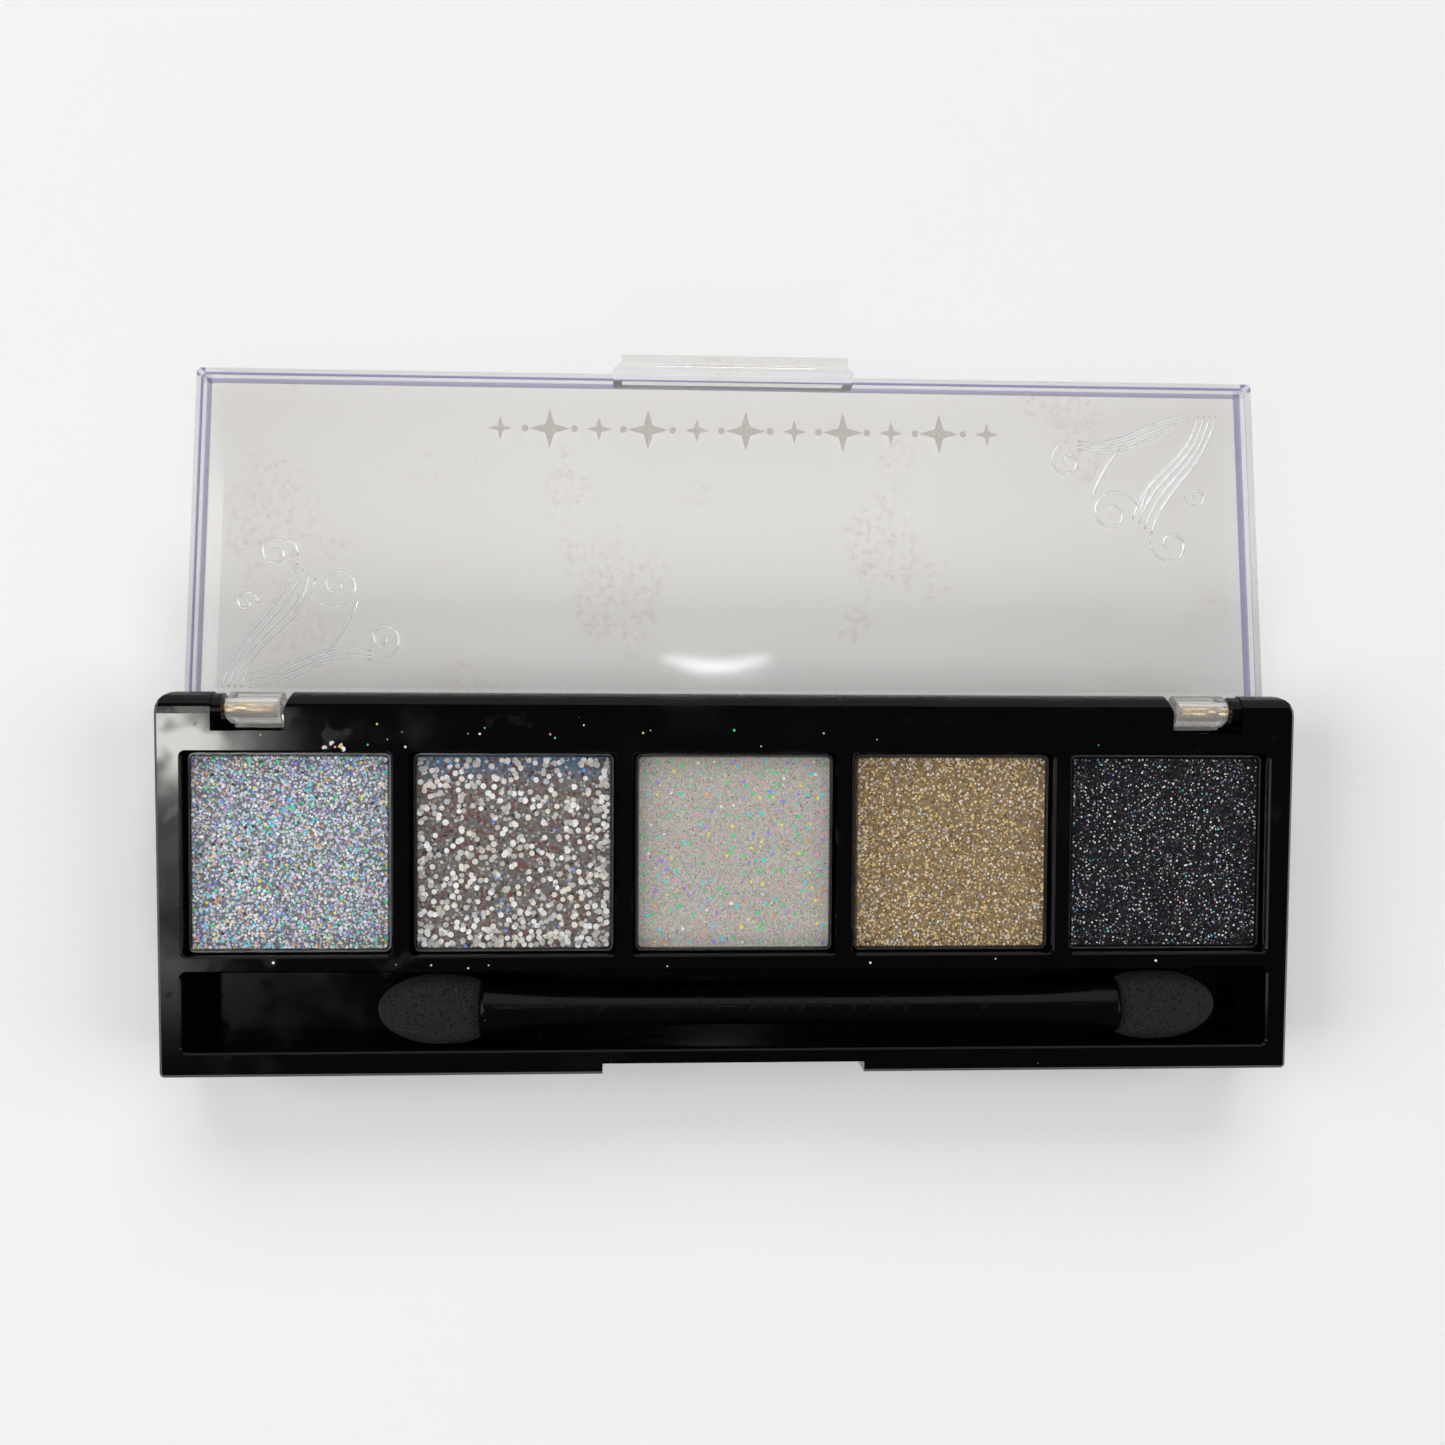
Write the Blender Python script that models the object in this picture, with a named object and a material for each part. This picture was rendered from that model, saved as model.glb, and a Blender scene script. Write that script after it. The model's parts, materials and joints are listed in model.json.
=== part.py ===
"""Five-pan eyeshadow palette with a clear hinged lid and a double-ended sponge applicator.

Frame: origin in the middle of the underside footprint, +X along the row of pans,
+Y towards the hinge, +Z up out of the pans. The lid is built lying open behind the base.
"""
import math

import bmesh
import bpy
from mathutils import Matrix, Vector

MM = 0.001

# Base
BASE_WIDTH = 125.0 * MM
BASE_DEPTH = 41.8 * MM
BASE_HEIGHT = 12.0 * MM
BASE_FRONT_Y = -BASE_DEPTH / 2
BASE_EDGE_BEVEL = 0.35 * MM
BASE_FRONT_CORNER = 0.5 * MM
BASE_REAR_CORNER = 2.2 * MM
BASE_TAPER = 0.3 * MM
REAR_WALL_STEP = 0.6 * MM

# Hinge
BARREL_RADIUS = 1.75 * MM
HINGE_Y = BASE_DEPTH / 2 - BARREL_RADIUS
HINGE_Z = BASE_HEIGHT - BARREL_RADIUS
NOTCH_OUTER_X = 56.5 * MM
NOTCH_INNER_X = 48.7 * MM
NOTCH_FLARE = 0.8 * MM
NOTCH_FRONT = 2.45 * MM
NOTCH_DROP = 3.1 * MM
BOSS_RADIUS = 1.6 * MM
BOSS_END_X = 55.4 * MM
PIN_RADIUS = 0.5 * MM
PIN_BAND_RADIUS = 0.56 * MM
PIN_BORE_RADIUS = 0.68 * MM
PIN_OUTER_X = 61.9 * MM
PIN_INNER_X = 49.9 * MM
PIN_CHAMFER = 0.15 * MM
PIN_BAND_STARTS = (52.0 * MM, 56.0 * MM, 59.0 * MM)
PIN_BAND_LENGTH = 1.4 * MM
PIN_BAND_RAMP = 0.08 * MM
KNUCKLE_OUTER_X = 55.1 * MM
KNUCKLE_INNER_X = 49.1 * MM
KNUCKLE_END_BEVEL = 0.5 * MM
KNUCKLE_BORE_END_X = 49.6 * MM
HEEL_OUTER_X = 54.2 * MM
HEEL_REACH = 2.05 * MM
HEEL_INSET = 0.05 * MM
HEEL_ROOT = 0.2 * MM
HEEL_BELOW_TOP = 0.03 * MM
ARM_OVERLAP = 0.6 * MM

# Pans and the powder in them
PAN_COUNT = 5
PAN_PITCH = 24.25 * MM
WINDOW_WIDTH = 22.35 * MM
WINDOW_DEPTH = 22.15 * MM
WINDOW_CENTRE_Y = 3.35 * MM
WINDOW_CORNER = 0.5 * MM
WINDOW_CHAMFER = 0.2 * MM
WELL_DROP = 6.0 * MM
PAN_SIZE = 21.8 * MM
PAN_CORNER = 0.7 * MM
PAN_WALL = 0.2 * MM
PAN_HEIGHT = 3.9 * MM
GLUE_SIZE = 14.0 * MM
GLUE_CORNER = 3.0 * MM
GLUE_THICKNESS = 0.3 * MM
JOINT_GAP = 0.05 * MM
POWDER_GAP = 0.05 * MM
POWDER_BELOW_RIM = 0.1 * MM
POWDER_EDGE_BEVEL = 0.15 * MM

# Applicator trough
TROUGH_HALF_LENGTH = 59.8 * MM
TROUGH_WIDTH = 8.7 * MM
TROUGH_CENTRE_Y = -13.85 * MM
TROUGH_CORNER = 0.6 * MM
TROUGH_SHELF_DROP = 5.8 * MM
TROUGH_WELL_DROP = 7.4 * MM
TROUGH_WELL_LENGTH = 3.6 * MM

# Catch at the front
CATCH_NOTCH_WIDTH = 28.9 * MM
CATCH_NOTCH_DEPTH = 1.5 * MM
CATCH_NOTCH_DROP = 4.4 * MM
CATCH_GROOVE_DROP = 1.4 * MM
CATCH_BEAD_RADIUS = 0.18 * MM
CATCH_GROOVE_GAP = 0.1 * MM
CATCH_BEAD_LENGTH = 18.0 * MM
TAB_WIDTH = 27.4 * MM
TAB_THICKNESS = 0.95 * MM
TAB_BELOW_DECK = 2.05 * MM
TAB_CORNER = 1.0 * MM
TAB_SHOULDER_STEP = 0.4 * MM
TAB_ROOT = 0.2 * MM
TAB_LIP_OVERLAP = 0.5 * MM
TAB_LIP_INSET = 0.02 * MM

# Label on the underside
LABEL_CENTRE_X = -32.0 * MM
LABEL_LENGTH = 46.0 * MM
LABEL_WIDTH = 22.0 * MM
LABEL_RECESS = 0.4 * MM
LABEL_THICKNESS = 0.15 * MM
LABEL_MARGIN = 0.4 * MM

# Lid, measured from the hinge axis in its shut position
LID_OPENING = math.radians(186)
LID_HALF_WIDTH = 60.4 * MM
LID_TAPER = 0.5 * MM
LID_WALL = 0.8 * MM
LID_REAR = 0.3 * MM
LID_FRONT = 38.15 * MM
LID_GAP = 0.3 * MM
LID_HEIGHT = 4.2 * MM
LID_SHOULDER_HEIGHT = 3.7 * MM
LID_FACE = 1.1 * MM
LID_CORNER = 0.5 * MM
LID_LEDGE = 0.8 * MM
LID_SLOPE = 1.5 * MM

# Applicator
APPLICATOR_CENTRE_X = 7.75 * MM
APPLICATOR_CENTRE_Y = -14.1 * MM
APPLICATOR_REST_GAP = 0.3 * MM
HANDLE_HALF_LENGTH = 35.6 * MM
HANDLE_END_HALF_WIDTH = 2.95 * MM
HANDLE_END_HALF_HEIGHT = 2.9 * MM
HANDLE_BORE_RADIUS = 1.7 * MM
HANDLE_BORE_DEPTH = 7.0 * MM
STEM_RADIUS = 1.55 * MM
STEM_PLUG_LENGTH = 6.6 * MM
STEM_CHAMFER = 0.2 * MM
STEM_REACH = 0.6 * MM
PADDLE_LENGTH = 8.0 * MM
PADDLE_HALF_WIDTH = 2.3 * MM
PADDLE_HALF_HEIGHT = 0.6 * MM
PADDLE_SETBACK = 0.3 * MM
PADDLE_TIP_CORNER = 1.5 * MM
PADDLE_HEEL_CORNER = 0.2 * MM
SPONGE_LENGTH = 11.4 * MM
SPONGE_HALF_WIDTH = 4.0 * MM
SPONGE_HALF_HEIGHT = 2.3 * MM
SPONGE_GAP = 0.1 * MM
# The sponge is widest at this share of its length, and this share as wide at the handle
SPONGE_WIDEST = 0.38
SPONGE_HEEL = 0.86
SPONGE_HEEL_EDGE = 0.8
SPONGE_POINT = 0.02
SPONGE_STEPS = 16

# Along the handle: share of the half length, and the share of the end size there
HANDLE_STATIONS = (
    (1.000, 0.950),
    (0.985, 1.000),
    (0.930, 0.960),
    (0.860, 0.855),
    (0.760, 0.750),
    (0.550, 0.680),
    (0.250, 0.640),
)
ROUND_STEPS = 28


# ---------------------------------------------------------------- materials

def material(name, colour, roughness, metallic=0.0, transmission=0.0):
    """One plain Principled material."""
    mat = bpy.data.materials.new(name)
    mat.use_nodes = True
    shader = mat.node_tree.nodes["Principled BSDF"]
    shader.inputs["Base Color"].default_value = (*colour, 1.0)
    shader.inputs["Roughness"].default_value = roughness
    shader.inputs["Metallic"].default_value = metallic
    shader.inputs["Transmission Weight"].default_value = transmission
    mat.diffuse_color = (*colour, 1.0)
    return mat


# ---------------------------------------------------------------- geometry helpers

def rounded_rectangle(half_x, half_y, radii, steps=5):
    """Corner-rounded rectangle about (0, 0), anticlockwise from the front right corner.

    radii gives the front right, rear right, rear left and front left corner.
    """
    corners = ((1, -1, -90), (1, 1, 0), (-1, 1, 90), (-1, -1, 180))
    points = []
    for (sign_x, sign_y, start), radius in zip(corners, radii):
        centre_x = sign_x * (half_x - radius)
        centre_y = sign_y * (half_y - radius)
        for step in range(steps + 1):
            angle = math.radians(start + 90 * step / steps)
            x = centre_x + radius * math.cos(angle)
            y = centre_y + radius * math.sin(angle)
            points.append((x, y))
    return points


def tapered(outline, centre_y, half_y, taper):
    """The outline narrowed towards its front, by the taper on each side at the front edge."""
    half_x = max(x for x, y in outline)
    points = []
    for x, y in outline:
        towards_front = (half_y - (y - centre_y)) / (2 * half_y)
        points.append((x * (1 - taper / half_x * towards_front), y))
    return points


def skin(rings):
    """Closed body through a stack of rings that all have the same point count."""
    bm = bmesh.new()
    rows = [[bm.verts.new(point) for point in ring] for ring in rings]
    count = len(rows[0])
    for lower, upper in zip(rows, rows[1:]):
        for i in range(count):
            j = (i + 1) % count
            bm.faces.new((lower[i], lower[j], upper[j], upper[i]))
    bm.faces.new(list(reversed(rows[0])))
    bm.faces.new(rows[-1])
    bmesh.ops.recalc_face_normals(bm, faces=bm.faces)
    return bm


def slab(outline_layers, centre=(0.0, 0.0)):
    """Body from (outline, z) layers, lowest first, moved to the given centre."""
    rings = []
    for outline, z in outline_layers:
        rings.append([(x + centre[0], y + centre[1], z) for x, y in outline])
    return skin(rings)


def box(low, high):
    """Axis-aligned box between two corners."""
    outline = (
        (low[0], low[1]),
        (high[0], low[1]),
        (high[0], high[1]),
        (low[0], high[1]),
    )
    return slab(((outline, low[2]), (outline, high[2])))


def turned(profile, steps=ROUND_STEPS):
    """Body of revolution about the X axis from (x, radius) pairs."""
    rings = []
    for x, radius in profile:
        ring = []
        for step in range(steps):
            angle = 2 * math.pi * step / steps
            ring.append((x, radius * math.cos(angle), radius * math.sin(angle)))
        rings.append(ring)
    return skin(rings)


def extruded_along_x(profile, x_low, x_high):
    """Body with a (y, z) section between two x positions."""
    rings = [[(x, y, z) for y, z in profile] for x in (x_low, x_high)]
    return skin(rings)


def mirrored(bm):
    """The same body on the other side of the YZ plane."""
    bmesh.ops.transform(bm, matrix=Matrix.Scale(-1, 4, (1, 0, 0)), verts=bm.verts)
    bmesh.ops.recalc_face_normals(bm, faces=bm.faces)
    return bm


def moved(bm, offset):
    """The body shifted by an offset."""
    bmesh.ops.translate(bm, vec=Vector(offset), verts=bm.verts)
    return bm


def new_object(name, bm, mat, smooth_angle=30.0):
    """Scene object from a bmesh, smooth except over sharp edges."""
    mesh = bpy.data.meshes.new(name)
    for face in bm.faces:
        face.smooth = True
    limit = math.radians(smooth_angle)
    for edge in bm.edges:
        if len(edge.link_faces) == 2:
            edge.smooth = edge.calc_face_angle(math.pi) < limit
    bm.to_mesh(mesh)
    bm.free()
    if mat:
        mesh.materials.append(mat)
    obj = bpy.data.objects.new(name, mesh)
    bpy.context.scene.collection.objects.link(obj)
    return obj


def combined(bm, operation, others):
    """The body after a chain of booleans with the other bodies."""
    target = new_object("boolean_target", bm, None)
    for other in others:
        tool = new_object("boolean_tool", other, None)
        step = target.modifiers.new("boolean", "BOOLEAN")
        step.operation = operation
        step.object = tool
        bpy.context.view_layer.update()
        graph = bpy.context.evaluated_depsgraph_get()
        result = bpy.data.meshes.new_from_object(target.evaluated_get(graph))
        target.modifiers.clear()
        old = target.data
        target.data = result
        bpy.data.meshes.remove(old)
        tool_mesh = tool.data
        bpy.data.objects.remove(tool)
        bpy.data.meshes.remove(tool_mesh)
    out = bmesh.new()
    out.from_mesh(target.data)
    mesh = target.data
    bpy.data.objects.remove(target)
    bpy.data.meshes.remove(mesh)
    bmesh.ops.remove_doubles(out, verts=out.verts, dist=0.001 * MM)
    return out


def pocket(half_x, half_y, corner, floor_z, chamfer=0.0):
    """Cutter for a rounded pocket open at the top, with a chamfered mouth."""
    inner = rounded_rectangle(half_x, half_y, (corner,) * 4)
    outer = rounded_rectangle(half_x + chamfer, half_y + chamfer, (corner + chamfer,) * 4)
    layers = [(inner, floor_z)]
    if chamfer:
        layers.append((inner, BASE_HEIGHT - chamfer))
        layers.append((outer, BASE_HEIGHT))
    layers.append((outer, BASE_HEIGHT + MM))
    return layers


# ---------------------------------------------------------------- base

def base_block():
    """Outer block with the hinge barrel rolled along its rear top edge."""
    radii = (BASE_FRONT_CORNER, BASE_REAR_CORNER, BASE_REAR_CORNER, BASE_FRONT_CORNER)
    inset = BASE_EDGE_BEVEL
    full = rounded_rectangle(BASE_WIDTH / 2, BASE_DEPTH / 2, radii)
    small_radii = [max(radius - inset, 0.1 * MM) for radius in radii]
    small = rounded_rectangle(BASE_WIDTH / 2 - inset, BASE_DEPTH / 2 - inset, small_radii)
    full, small = [tapered(outline, 0.0, BASE_DEPTH / 2, BASE_TAPER) for outline in (full, small)]
    block = slab((
        (small, 0.0),
        (full, inset),
        (full, BASE_HEIGHT - inset),
        (small, BASE_HEIGHT),
    ))
    beyond = 5 * MM
    profile = [
        (BASE_FRONT_Y - beyond, -beyond),
        (HINGE_Y - REAR_WALL_STEP, -beyond),
        (HINGE_Y - REAR_WALL_STEP, HINGE_Z - BARREL_RADIUS),
    ]
    steps = 16
    for step in range(steps):
        angle = math.radians(-90 + 180 * (step + 0.5) / steps)
        y = HINGE_Y + BARREL_RADIUS * math.cos(angle)
        profile.append((y, HINGE_Z + BARREL_RADIUS * math.sin(angle)))
    profile.append((HINGE_Y - REAR_WALL_STEP, BASE_HEIGHT))
    profile.append((HINGE_Y - REAR_WALL_STEP, BASE_HEIGHT + beyond))
    profile.append((BASE_FRONT_Y - beyond, BASE_HEIGHT + beyond))
    section = extruded_along_x(profile, -BASE_WIDTH, BASE_WIDTH)
    return combined(block, "INTERSECT", [section])


def hinge_notch(side):
    """Cutter for one hinge notch, flared towards the rear on its inner side."""
    front = HINGE_Y - NOTCH_FRONT
    rear = HINGE_Y + 2 * BARREL_RADIUS
    outline = (
        (NOTCH_INNER_X, front),
        (NOTCH_OUTER_X, front),
        (NOTCH_OUTER_X, rear),
        (NOTCH_INNER_X - 2 * NOTCH_FLARE, rear),
        (NOTCH_INNER_X - NOTCH_FLARE, HINGE_Y + BARREL_RADIUS),
        (NOTCH_INNER_X, HINGE_Y),
    )
    bm = slab(((outline, HINGE_Z - NOTCH_DROP), (outline, BASE_HEIGHT + MM)))
    return bm if side > 0 else mirrored(bm)


def hinge_boss(side):
    """Round boss of the base that faces the lid's knuckle inside the notch."""
    bm = turned(((BOSS_END_X, BOSS_RADIUS), (NOTCH_OUTER_X + MM, BOSS_RADIUS)))
    moved(bm, (0, HINGE_Y, HINGE_Z))
    return bm if side > 0 else mirrored(bm)


def pin_bore(side):
    """Cutter for the pin hole from the end of the base to the knuckle."""
    profile = ((BOSS_END_X - MM, PIN_BORE_RADIUS), (BASE_WIDTH, PIN_BORE_RADIUS))
    bm = moved(turned(profile), (0, HINGE_Y, HINGE_Z))
    return bm if side > 0 else mirrored(bm)


def catch_cutters():
    """Cutters for the front notch and the groove that the lid's bead snaps into."""
    face_y = BASE_FRONT_Y + CATCH_NOTCH_DEPTH
    notch = box(
        (-CATCH_NOTCH_WIDTH / 2, BASE_FRONT_Y - MM, BASE_HEIGHT - CATCH_NOTCH_DROP),
        (CATCH_NOTCH_WIDTH / 2, face_y, BASE_HEIGHT + MM),
    )
    half = CATCH_BEAD_LENGTH / 2 + CATCH_BEAD_RADIUS
    radius = CATCH_BEAD_RADIUS + CATCH_GROOVE_GAP
    groove = turned(((-half, radius), (half, radius)), steps=12)
    moved(groove, (0.0, face_y, BASE_HEIGHT - CATCH_GROOVE_DROP))
    return [notch, groove]


def trough_cutters():
    """Cutters for the applicator trough and the deeper well at each end of it."""
    centre = (0.0, TROUGH_CENTRE_Y)
    half_y = TROUGH_WIDTH / 2
    shelf_z = BASE_HEIGHT - TROUGH_SHELF_DROP
    layers = pocket(TROUGH_HALF_LENGTH, half_y, TROUGH_CORNER, shelf_z, WINDOW_CHAMFER)
    cutters = [slab(layers, centre)]
    well_z = BASE_HEIGHT - TROUGH_WELL_DROP
    half_x = TROUGH_WELL_LENGTH / 2
    for side in (-1, 1):
        well_x = side * (TROUGH_HALF_LENGTH - half_x)
        layers = pocket(half_x, half_y, TROUGH_CORNER, well_z)
        cutters.append(slab(layers, (well_x, TROUGH_CENTRE_Y)))
    return cutters


def pan_x(index):
    """Middle of a pan along the row."""
    return (index - (PAN_COUNT - 1) / 2) * PAN_PITCH


def window_cutters():
    """Cutters for the five pan wells."""
    floor_z = BASE_HEIGHT - WELL_DROP
    layers = pocket(WINDOW_WIDTH / 2, WINDOW_DEPTH / 2, WINDOW_CORNER, floor_z, WINDOW_CHAMFER)
    return [slab(layers, (pan_x(i), WINDOW_CENTRE_Y)) for i in range(PAN_COUNT)]


def label_recess():
    """Cutter for the shallow label recess in the underside."""
    half_x = LABEL_LENGTH / 2
    half_y = LABEL_WIDTH / 2
    return box(
        (LABEL_CENTRE_X - half_x, -half_y, -MM),
        (LABEL_CENTRE_X + half_x, half_y, LABEL_RECESS),
    )


def build_base(mat):
    """Moulded base with pan wells, trough, hinge notches and catch."""
    body = combined(base_block(), "DIFFERENCE", [hinge_notch(side) for side in (-1, 1)])
    body = combined(body, "UNION", [hinge_boss(side) for side in (-1, 1)])
    cutters = [pin_bore(side) for side in (-1, 1)]
    cutters += window_cutters() + trough_cutters() + catch_cutters()
    cutters.append(label_recess())
    return new_object("base_shell", combined(body, "DIFFERENCE", cutters), mat)


def build_label(mat):
    """Paper label in the recess of the underside."""
    half_x = LABEL_LENGTH / 2 - LABEL_MARGIN
    half_y = LABEL_WIDTH / 2 - LABEL_MARGIN
    outline = rounded_rectangle(half_x, half_y, (MM,) * 4)
    top = LABEL_RECESS - JOINT_GAP
    layers = ((outline, top - LABEL_THICKNESS), (outline, top))
    new_object("bottom_label", slab(layers, (LABEL_CENTRE_X, 0.0)), mat)


# ---------------------------------------------------------------- pans

def pan_floor_z():
    """Height of a pan's underside."""
    return BASE_HEIGHT - WELL_DROP + GLUE_THICKNESS + 2 * JOINT_GAP


def build_glue(index, mat):
    """Glue pad between the floor of a well and its pan."""
    outline = rounded_rectangle(GLUE_SIZE / 2, GLUE_SIZE / 2, (GLUE_CORNER,) * 4)
    low = BASE_HEIGHT - WELL_DROP + JOINT_GAP
    layers = ((outline, low), (outline, low + GLUE_THICKNESS))
    new_object(f"pan_glue_{index + 1}", slab(layers, (pan_x(index), WINDOW_CENTRE_Y)), mat)


def build_pan(index, mat):
    """Pressed metal pan: an open square cup."""
    low = pan_floor_z()
    high = low + PAN_HEIGHT
    outer = rounded_rectangle(PAN_SIZE / 2, PAN_SIZE / 2, (PAN_CORNER,) * 4)
    half = PAN_SIZE / 2 - PAN_WALL
    inner = rounded_rectangle(half, half, (PAN_CORNER - PAN_WALL,) * 4)
    layers = (
        (inner, low),
        (outer, low + PAN_WALL),
        (outer, high),
        (inner, high),
        (inner, low + PAN_WALL),
    )
    new_object(f"pan_{index + 1}", slab(layers, (pan_x(index), WINDOW_CENTRE_Y)), mat)


def build_powder(index, mat):
    """Pressed block of shadow filling a pan."""
    low = pan_floor_z() + PAN_WALL + POWDER_GAP
    high = pan_floor_z() + PAN_HEIGHT - POWDER_BELOW_RIM
    half = PAN_SIZE / 2 - PAN_WALL - POWDER_GAP
    corner = PAN_CORNER - PAN_WALL - POWDER_GAP
    side = rounded_rectangle(half, half, (corner,) * 4)
    inset = half - POWDER_EDGE_BEVEL
    top = rounded_rectangle(inset, inset, (corner - POWDER_EDGE_BEVEL,) * 4)
    layers = ((side, low), (side, high - POWDER_EDGE_BEVEL), (top, high))
    new_object(f"shadow_{index + 1}", slab(layers, (pan_x(index), WINDOW_CENTRE_Y)), mat)


# ---------------------------------------------------------------- lid

def lid_shell():
    """Open box of the lid, shut position, hinge axis at the origin."""
    deck = BARREL_RADIUS
    rim_z = deck + LID_GAP
    centre_y = -(LID_FRONT + LID_REAR) / 2
    half_y = (LID_FRONT - LID_REAR) / 2
    half_x = LID_HALF_WIDTH

    def outline(inset):
        radius = max(LID_CORNER - inset, 0.15 * MM)
        square = rounded_rectangle(half_x - inset, half_y - inset, (radius,) * 4)
        return tapered(square, 0.0, half_y, LID_TAPER)

    outer = slab((
        (outline(0.0), rim_z),
        (outline(0.0), rim_z + LID_SHOULDER_HEIGHT),
        (outline(LID_LEDGE), rim_z + LID_SHOULDER_HEIGHT),
        (outline(LID_LEDGE + LID_SLOPE), rim_z + LID_HEIGHT),
    ), (0.0, centre_y))
    cavity = slab((
        (outline(LID_WALL), rim_z - MM),
        (outline(LID_WALL), rim_z + LID_HEIGHT - LID_FACE),
    ), (0.0, centre_y))
    return combined(outer, "DIFFERENCE", [cavity])


def lid_knuckle():
    """Bodies of the right-hand knuckle: barrel, heel that stops the lid, and arm."""
    barrel = turned((
        (KNUCKLE_INNER_X, BARREL_RADIUS),
        (KNUCKLE_OUTER_X - KNUCKLE_END_BEVEL, BARREL_RADIUS),
        (KNUCKLE_OUTER_X, BARREL_RADIUS - KNUCKLE_END_BEVEL),
    ))
    heel = box(
        (KNUCKLE_INNER_X + HEEL_INSET, -HEEL_ROOT, -HEEL_ROOT),
        (HEEL_OUTER_X, HEEL_REACH, BARREL_RADIUS - HEEL_BELOW_TOP),
    )
    arm = box(
        (KNUCKLE_INNER_X + HEEL_INSET, -LID_REAR - LID_WALL, 0.0),
        (HEEL_OUTER_X, -LID_REAR, BARREL_RADIUS + LID_GAP + ARM_OVERLAP),
    )
    return [barrel, heel, arm]


def lid_tab():
    """Bodies of the thumb tab and its snap bead, shut position."""
    rim_z = BARREL_RADIUS + LID_GAP
    front = -(LID_FRONT + LID_GAP + LID_GAP + TAB_THICKNESS)
    inner = front + TAB_THICKNESS
    low = BARREL_RADIUS - TAB_BELOW_DECK
    high = rim_z + LID_SHOULDER_HEIGHT - TAB_SHOULDER_STEP
    half = TAB_WIDTH / 2
    outline = (
        (-half + TAB_CORNER, front),
        (half - TAB_CORNER, front),
        (half, inner),
        (half, -LID_FRONT + TAB_ROOT),
        (-half, -LID_FRONT + TAB_ROOT),
        (-half, inner),
    )
    bridge = slab(((outline, rim_z), (outline, high)), (0.0, 0.0))
    lip = box(
        (-half + TAB_CORNER, front + TAB_LIP_INSET, low),
        (half - TAB_CORNER, inner, rim_z + TAB_LIP_OVERLAP),
    )
    half_bead = CATCH_BEAD_LENGTH / 2
    bead = turned(((-half_bead, CATCH_BEAD_RADIUS), (half_bead, CATCH_BEAD_RADIUS)), steps=12)
    moved(bead, (0.0, inner, BARREL_RADIUS - CATCH_GROOVE_DROP))
    return [bridge, lip, bead]


def knuckle_bore():
    """Cutter for the blind pin hole in the right-hand knuckle."""
    return turned(((KNUCKLE_BORE_END_X, PIN_BORE_RADIUS), (BASE_WIDTH, PIN_BORE_RADIUS)))


def build_lid(mat):
    """Clear lid, swung open about the hinge axis."""
    additions = lid_knuckle() + [mirrored(bm) for bm in lid_knuckle()] + lid_tab()
    body = combined(lid_shell(), "UNION", additions)
    body = combined(body, "DIFFERENCE", [knuckle_bore(), mirrored(knuckle_bore())])
    turn = Matrix.Rotation(-LID_OPENING, 4, "X")
    bmesh.ops.transform(body, matrix=turn, verts=body.verts)
    lid = new_object("lid", body, mat)
    lid.location = (0.0, HINGE_Y, HINGE_Z)


def build_pin(side, mat):
    """Hinge pin with raised bands that grip the base."""
    profile = [(PIN_INNER_X, PIN_RADIUS - PIN_CHAMFER), (PIN_INNER_X + PIN_CHAMFER, PIN_RADIUS)]
    for start in PIN_BAND_STARTS:
        end = start + PIN_BAND_LENGTH
        profile.append((start, PIN_RADIUS))
        profile.append((start + PIN_BAND_RAMP, PIN_BAND_RADIUS))
        profile.append((end, PIN_BAND_RADIUS))
        profile.append((end + PIN_BAND_RAMP, PIN_RADIUS))
    profile.append((PIN_OUTER_X - PIN_CHAMFER, PIN_RADIUS))
    profile.append((PIN_OUTER_X, PIN_RADIUS - PIN_CHAMFER))
    bm = turned(profile, steps=20)
    if side < 0:
        mirrored(bm)
    name = "hinge_pin_right" if side > 0 else "hinge_pin_left"
    pin = new_object(name, bm, mat)
    pin.location = (0.0, HINGE_Y, HINGE_Z)


# ---------------------------------------------------------------- applicator

def oval_ring(x, half_width, half_height, steps=ROUND_STEPS):
    """Ellipse across the X axis."""
    ring = []
    for step in range(steps):
        angle = 2 * math.pi * step / steps
        ring.append((x, half_width * math.cos(angle), half_height * math.sin(angle)))
    return ring


def applicator_place(obj):
    """Put an applicator piece on the trough shelf."""
    z = BASE_HEIGHT - TROUGH_SHELF_DROP + APPLICATOR_REST_GAP + HANDLE_END_HALF_HEIGHT
    obj.location = (APPLICATOR_CENTRE_X, APPLICATOR_CENTRE_Y, z)


def build_handle(mat):
    """Waisted handle with a socket in each end."""
    rings = []
    right = [(share * HANDLE_HALF_LENGTH, size) for share, size in HANDLE_STATIONS]
    left = [(-x, size) for x, size in right]
    for x, size in sorted(right + left):
        rings.append(oval_ring(x, size * HANDLE_END_HALF_WIDTH, size * HANDLE_END_HALF_HEIGHT))
    bores = []
    for side in (-1, 1):
        floor_x = side * (HANDLE_HALF_LENGTH - HANDLE_BORE_DEPTH)
        mouth_x = side * (HANDLE_HALF_LENGTH + MM)
        ends = sorted((floor_x, mouth_x))
        bores.append(turned([(x, HANDLE_BORE_RADIUS) for x in ends], steps=20))
    body = combined(skin(rings), "DIFFERENCE", bores)
    applicator_place(new_object("applicator_handle", body, mat))


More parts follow.
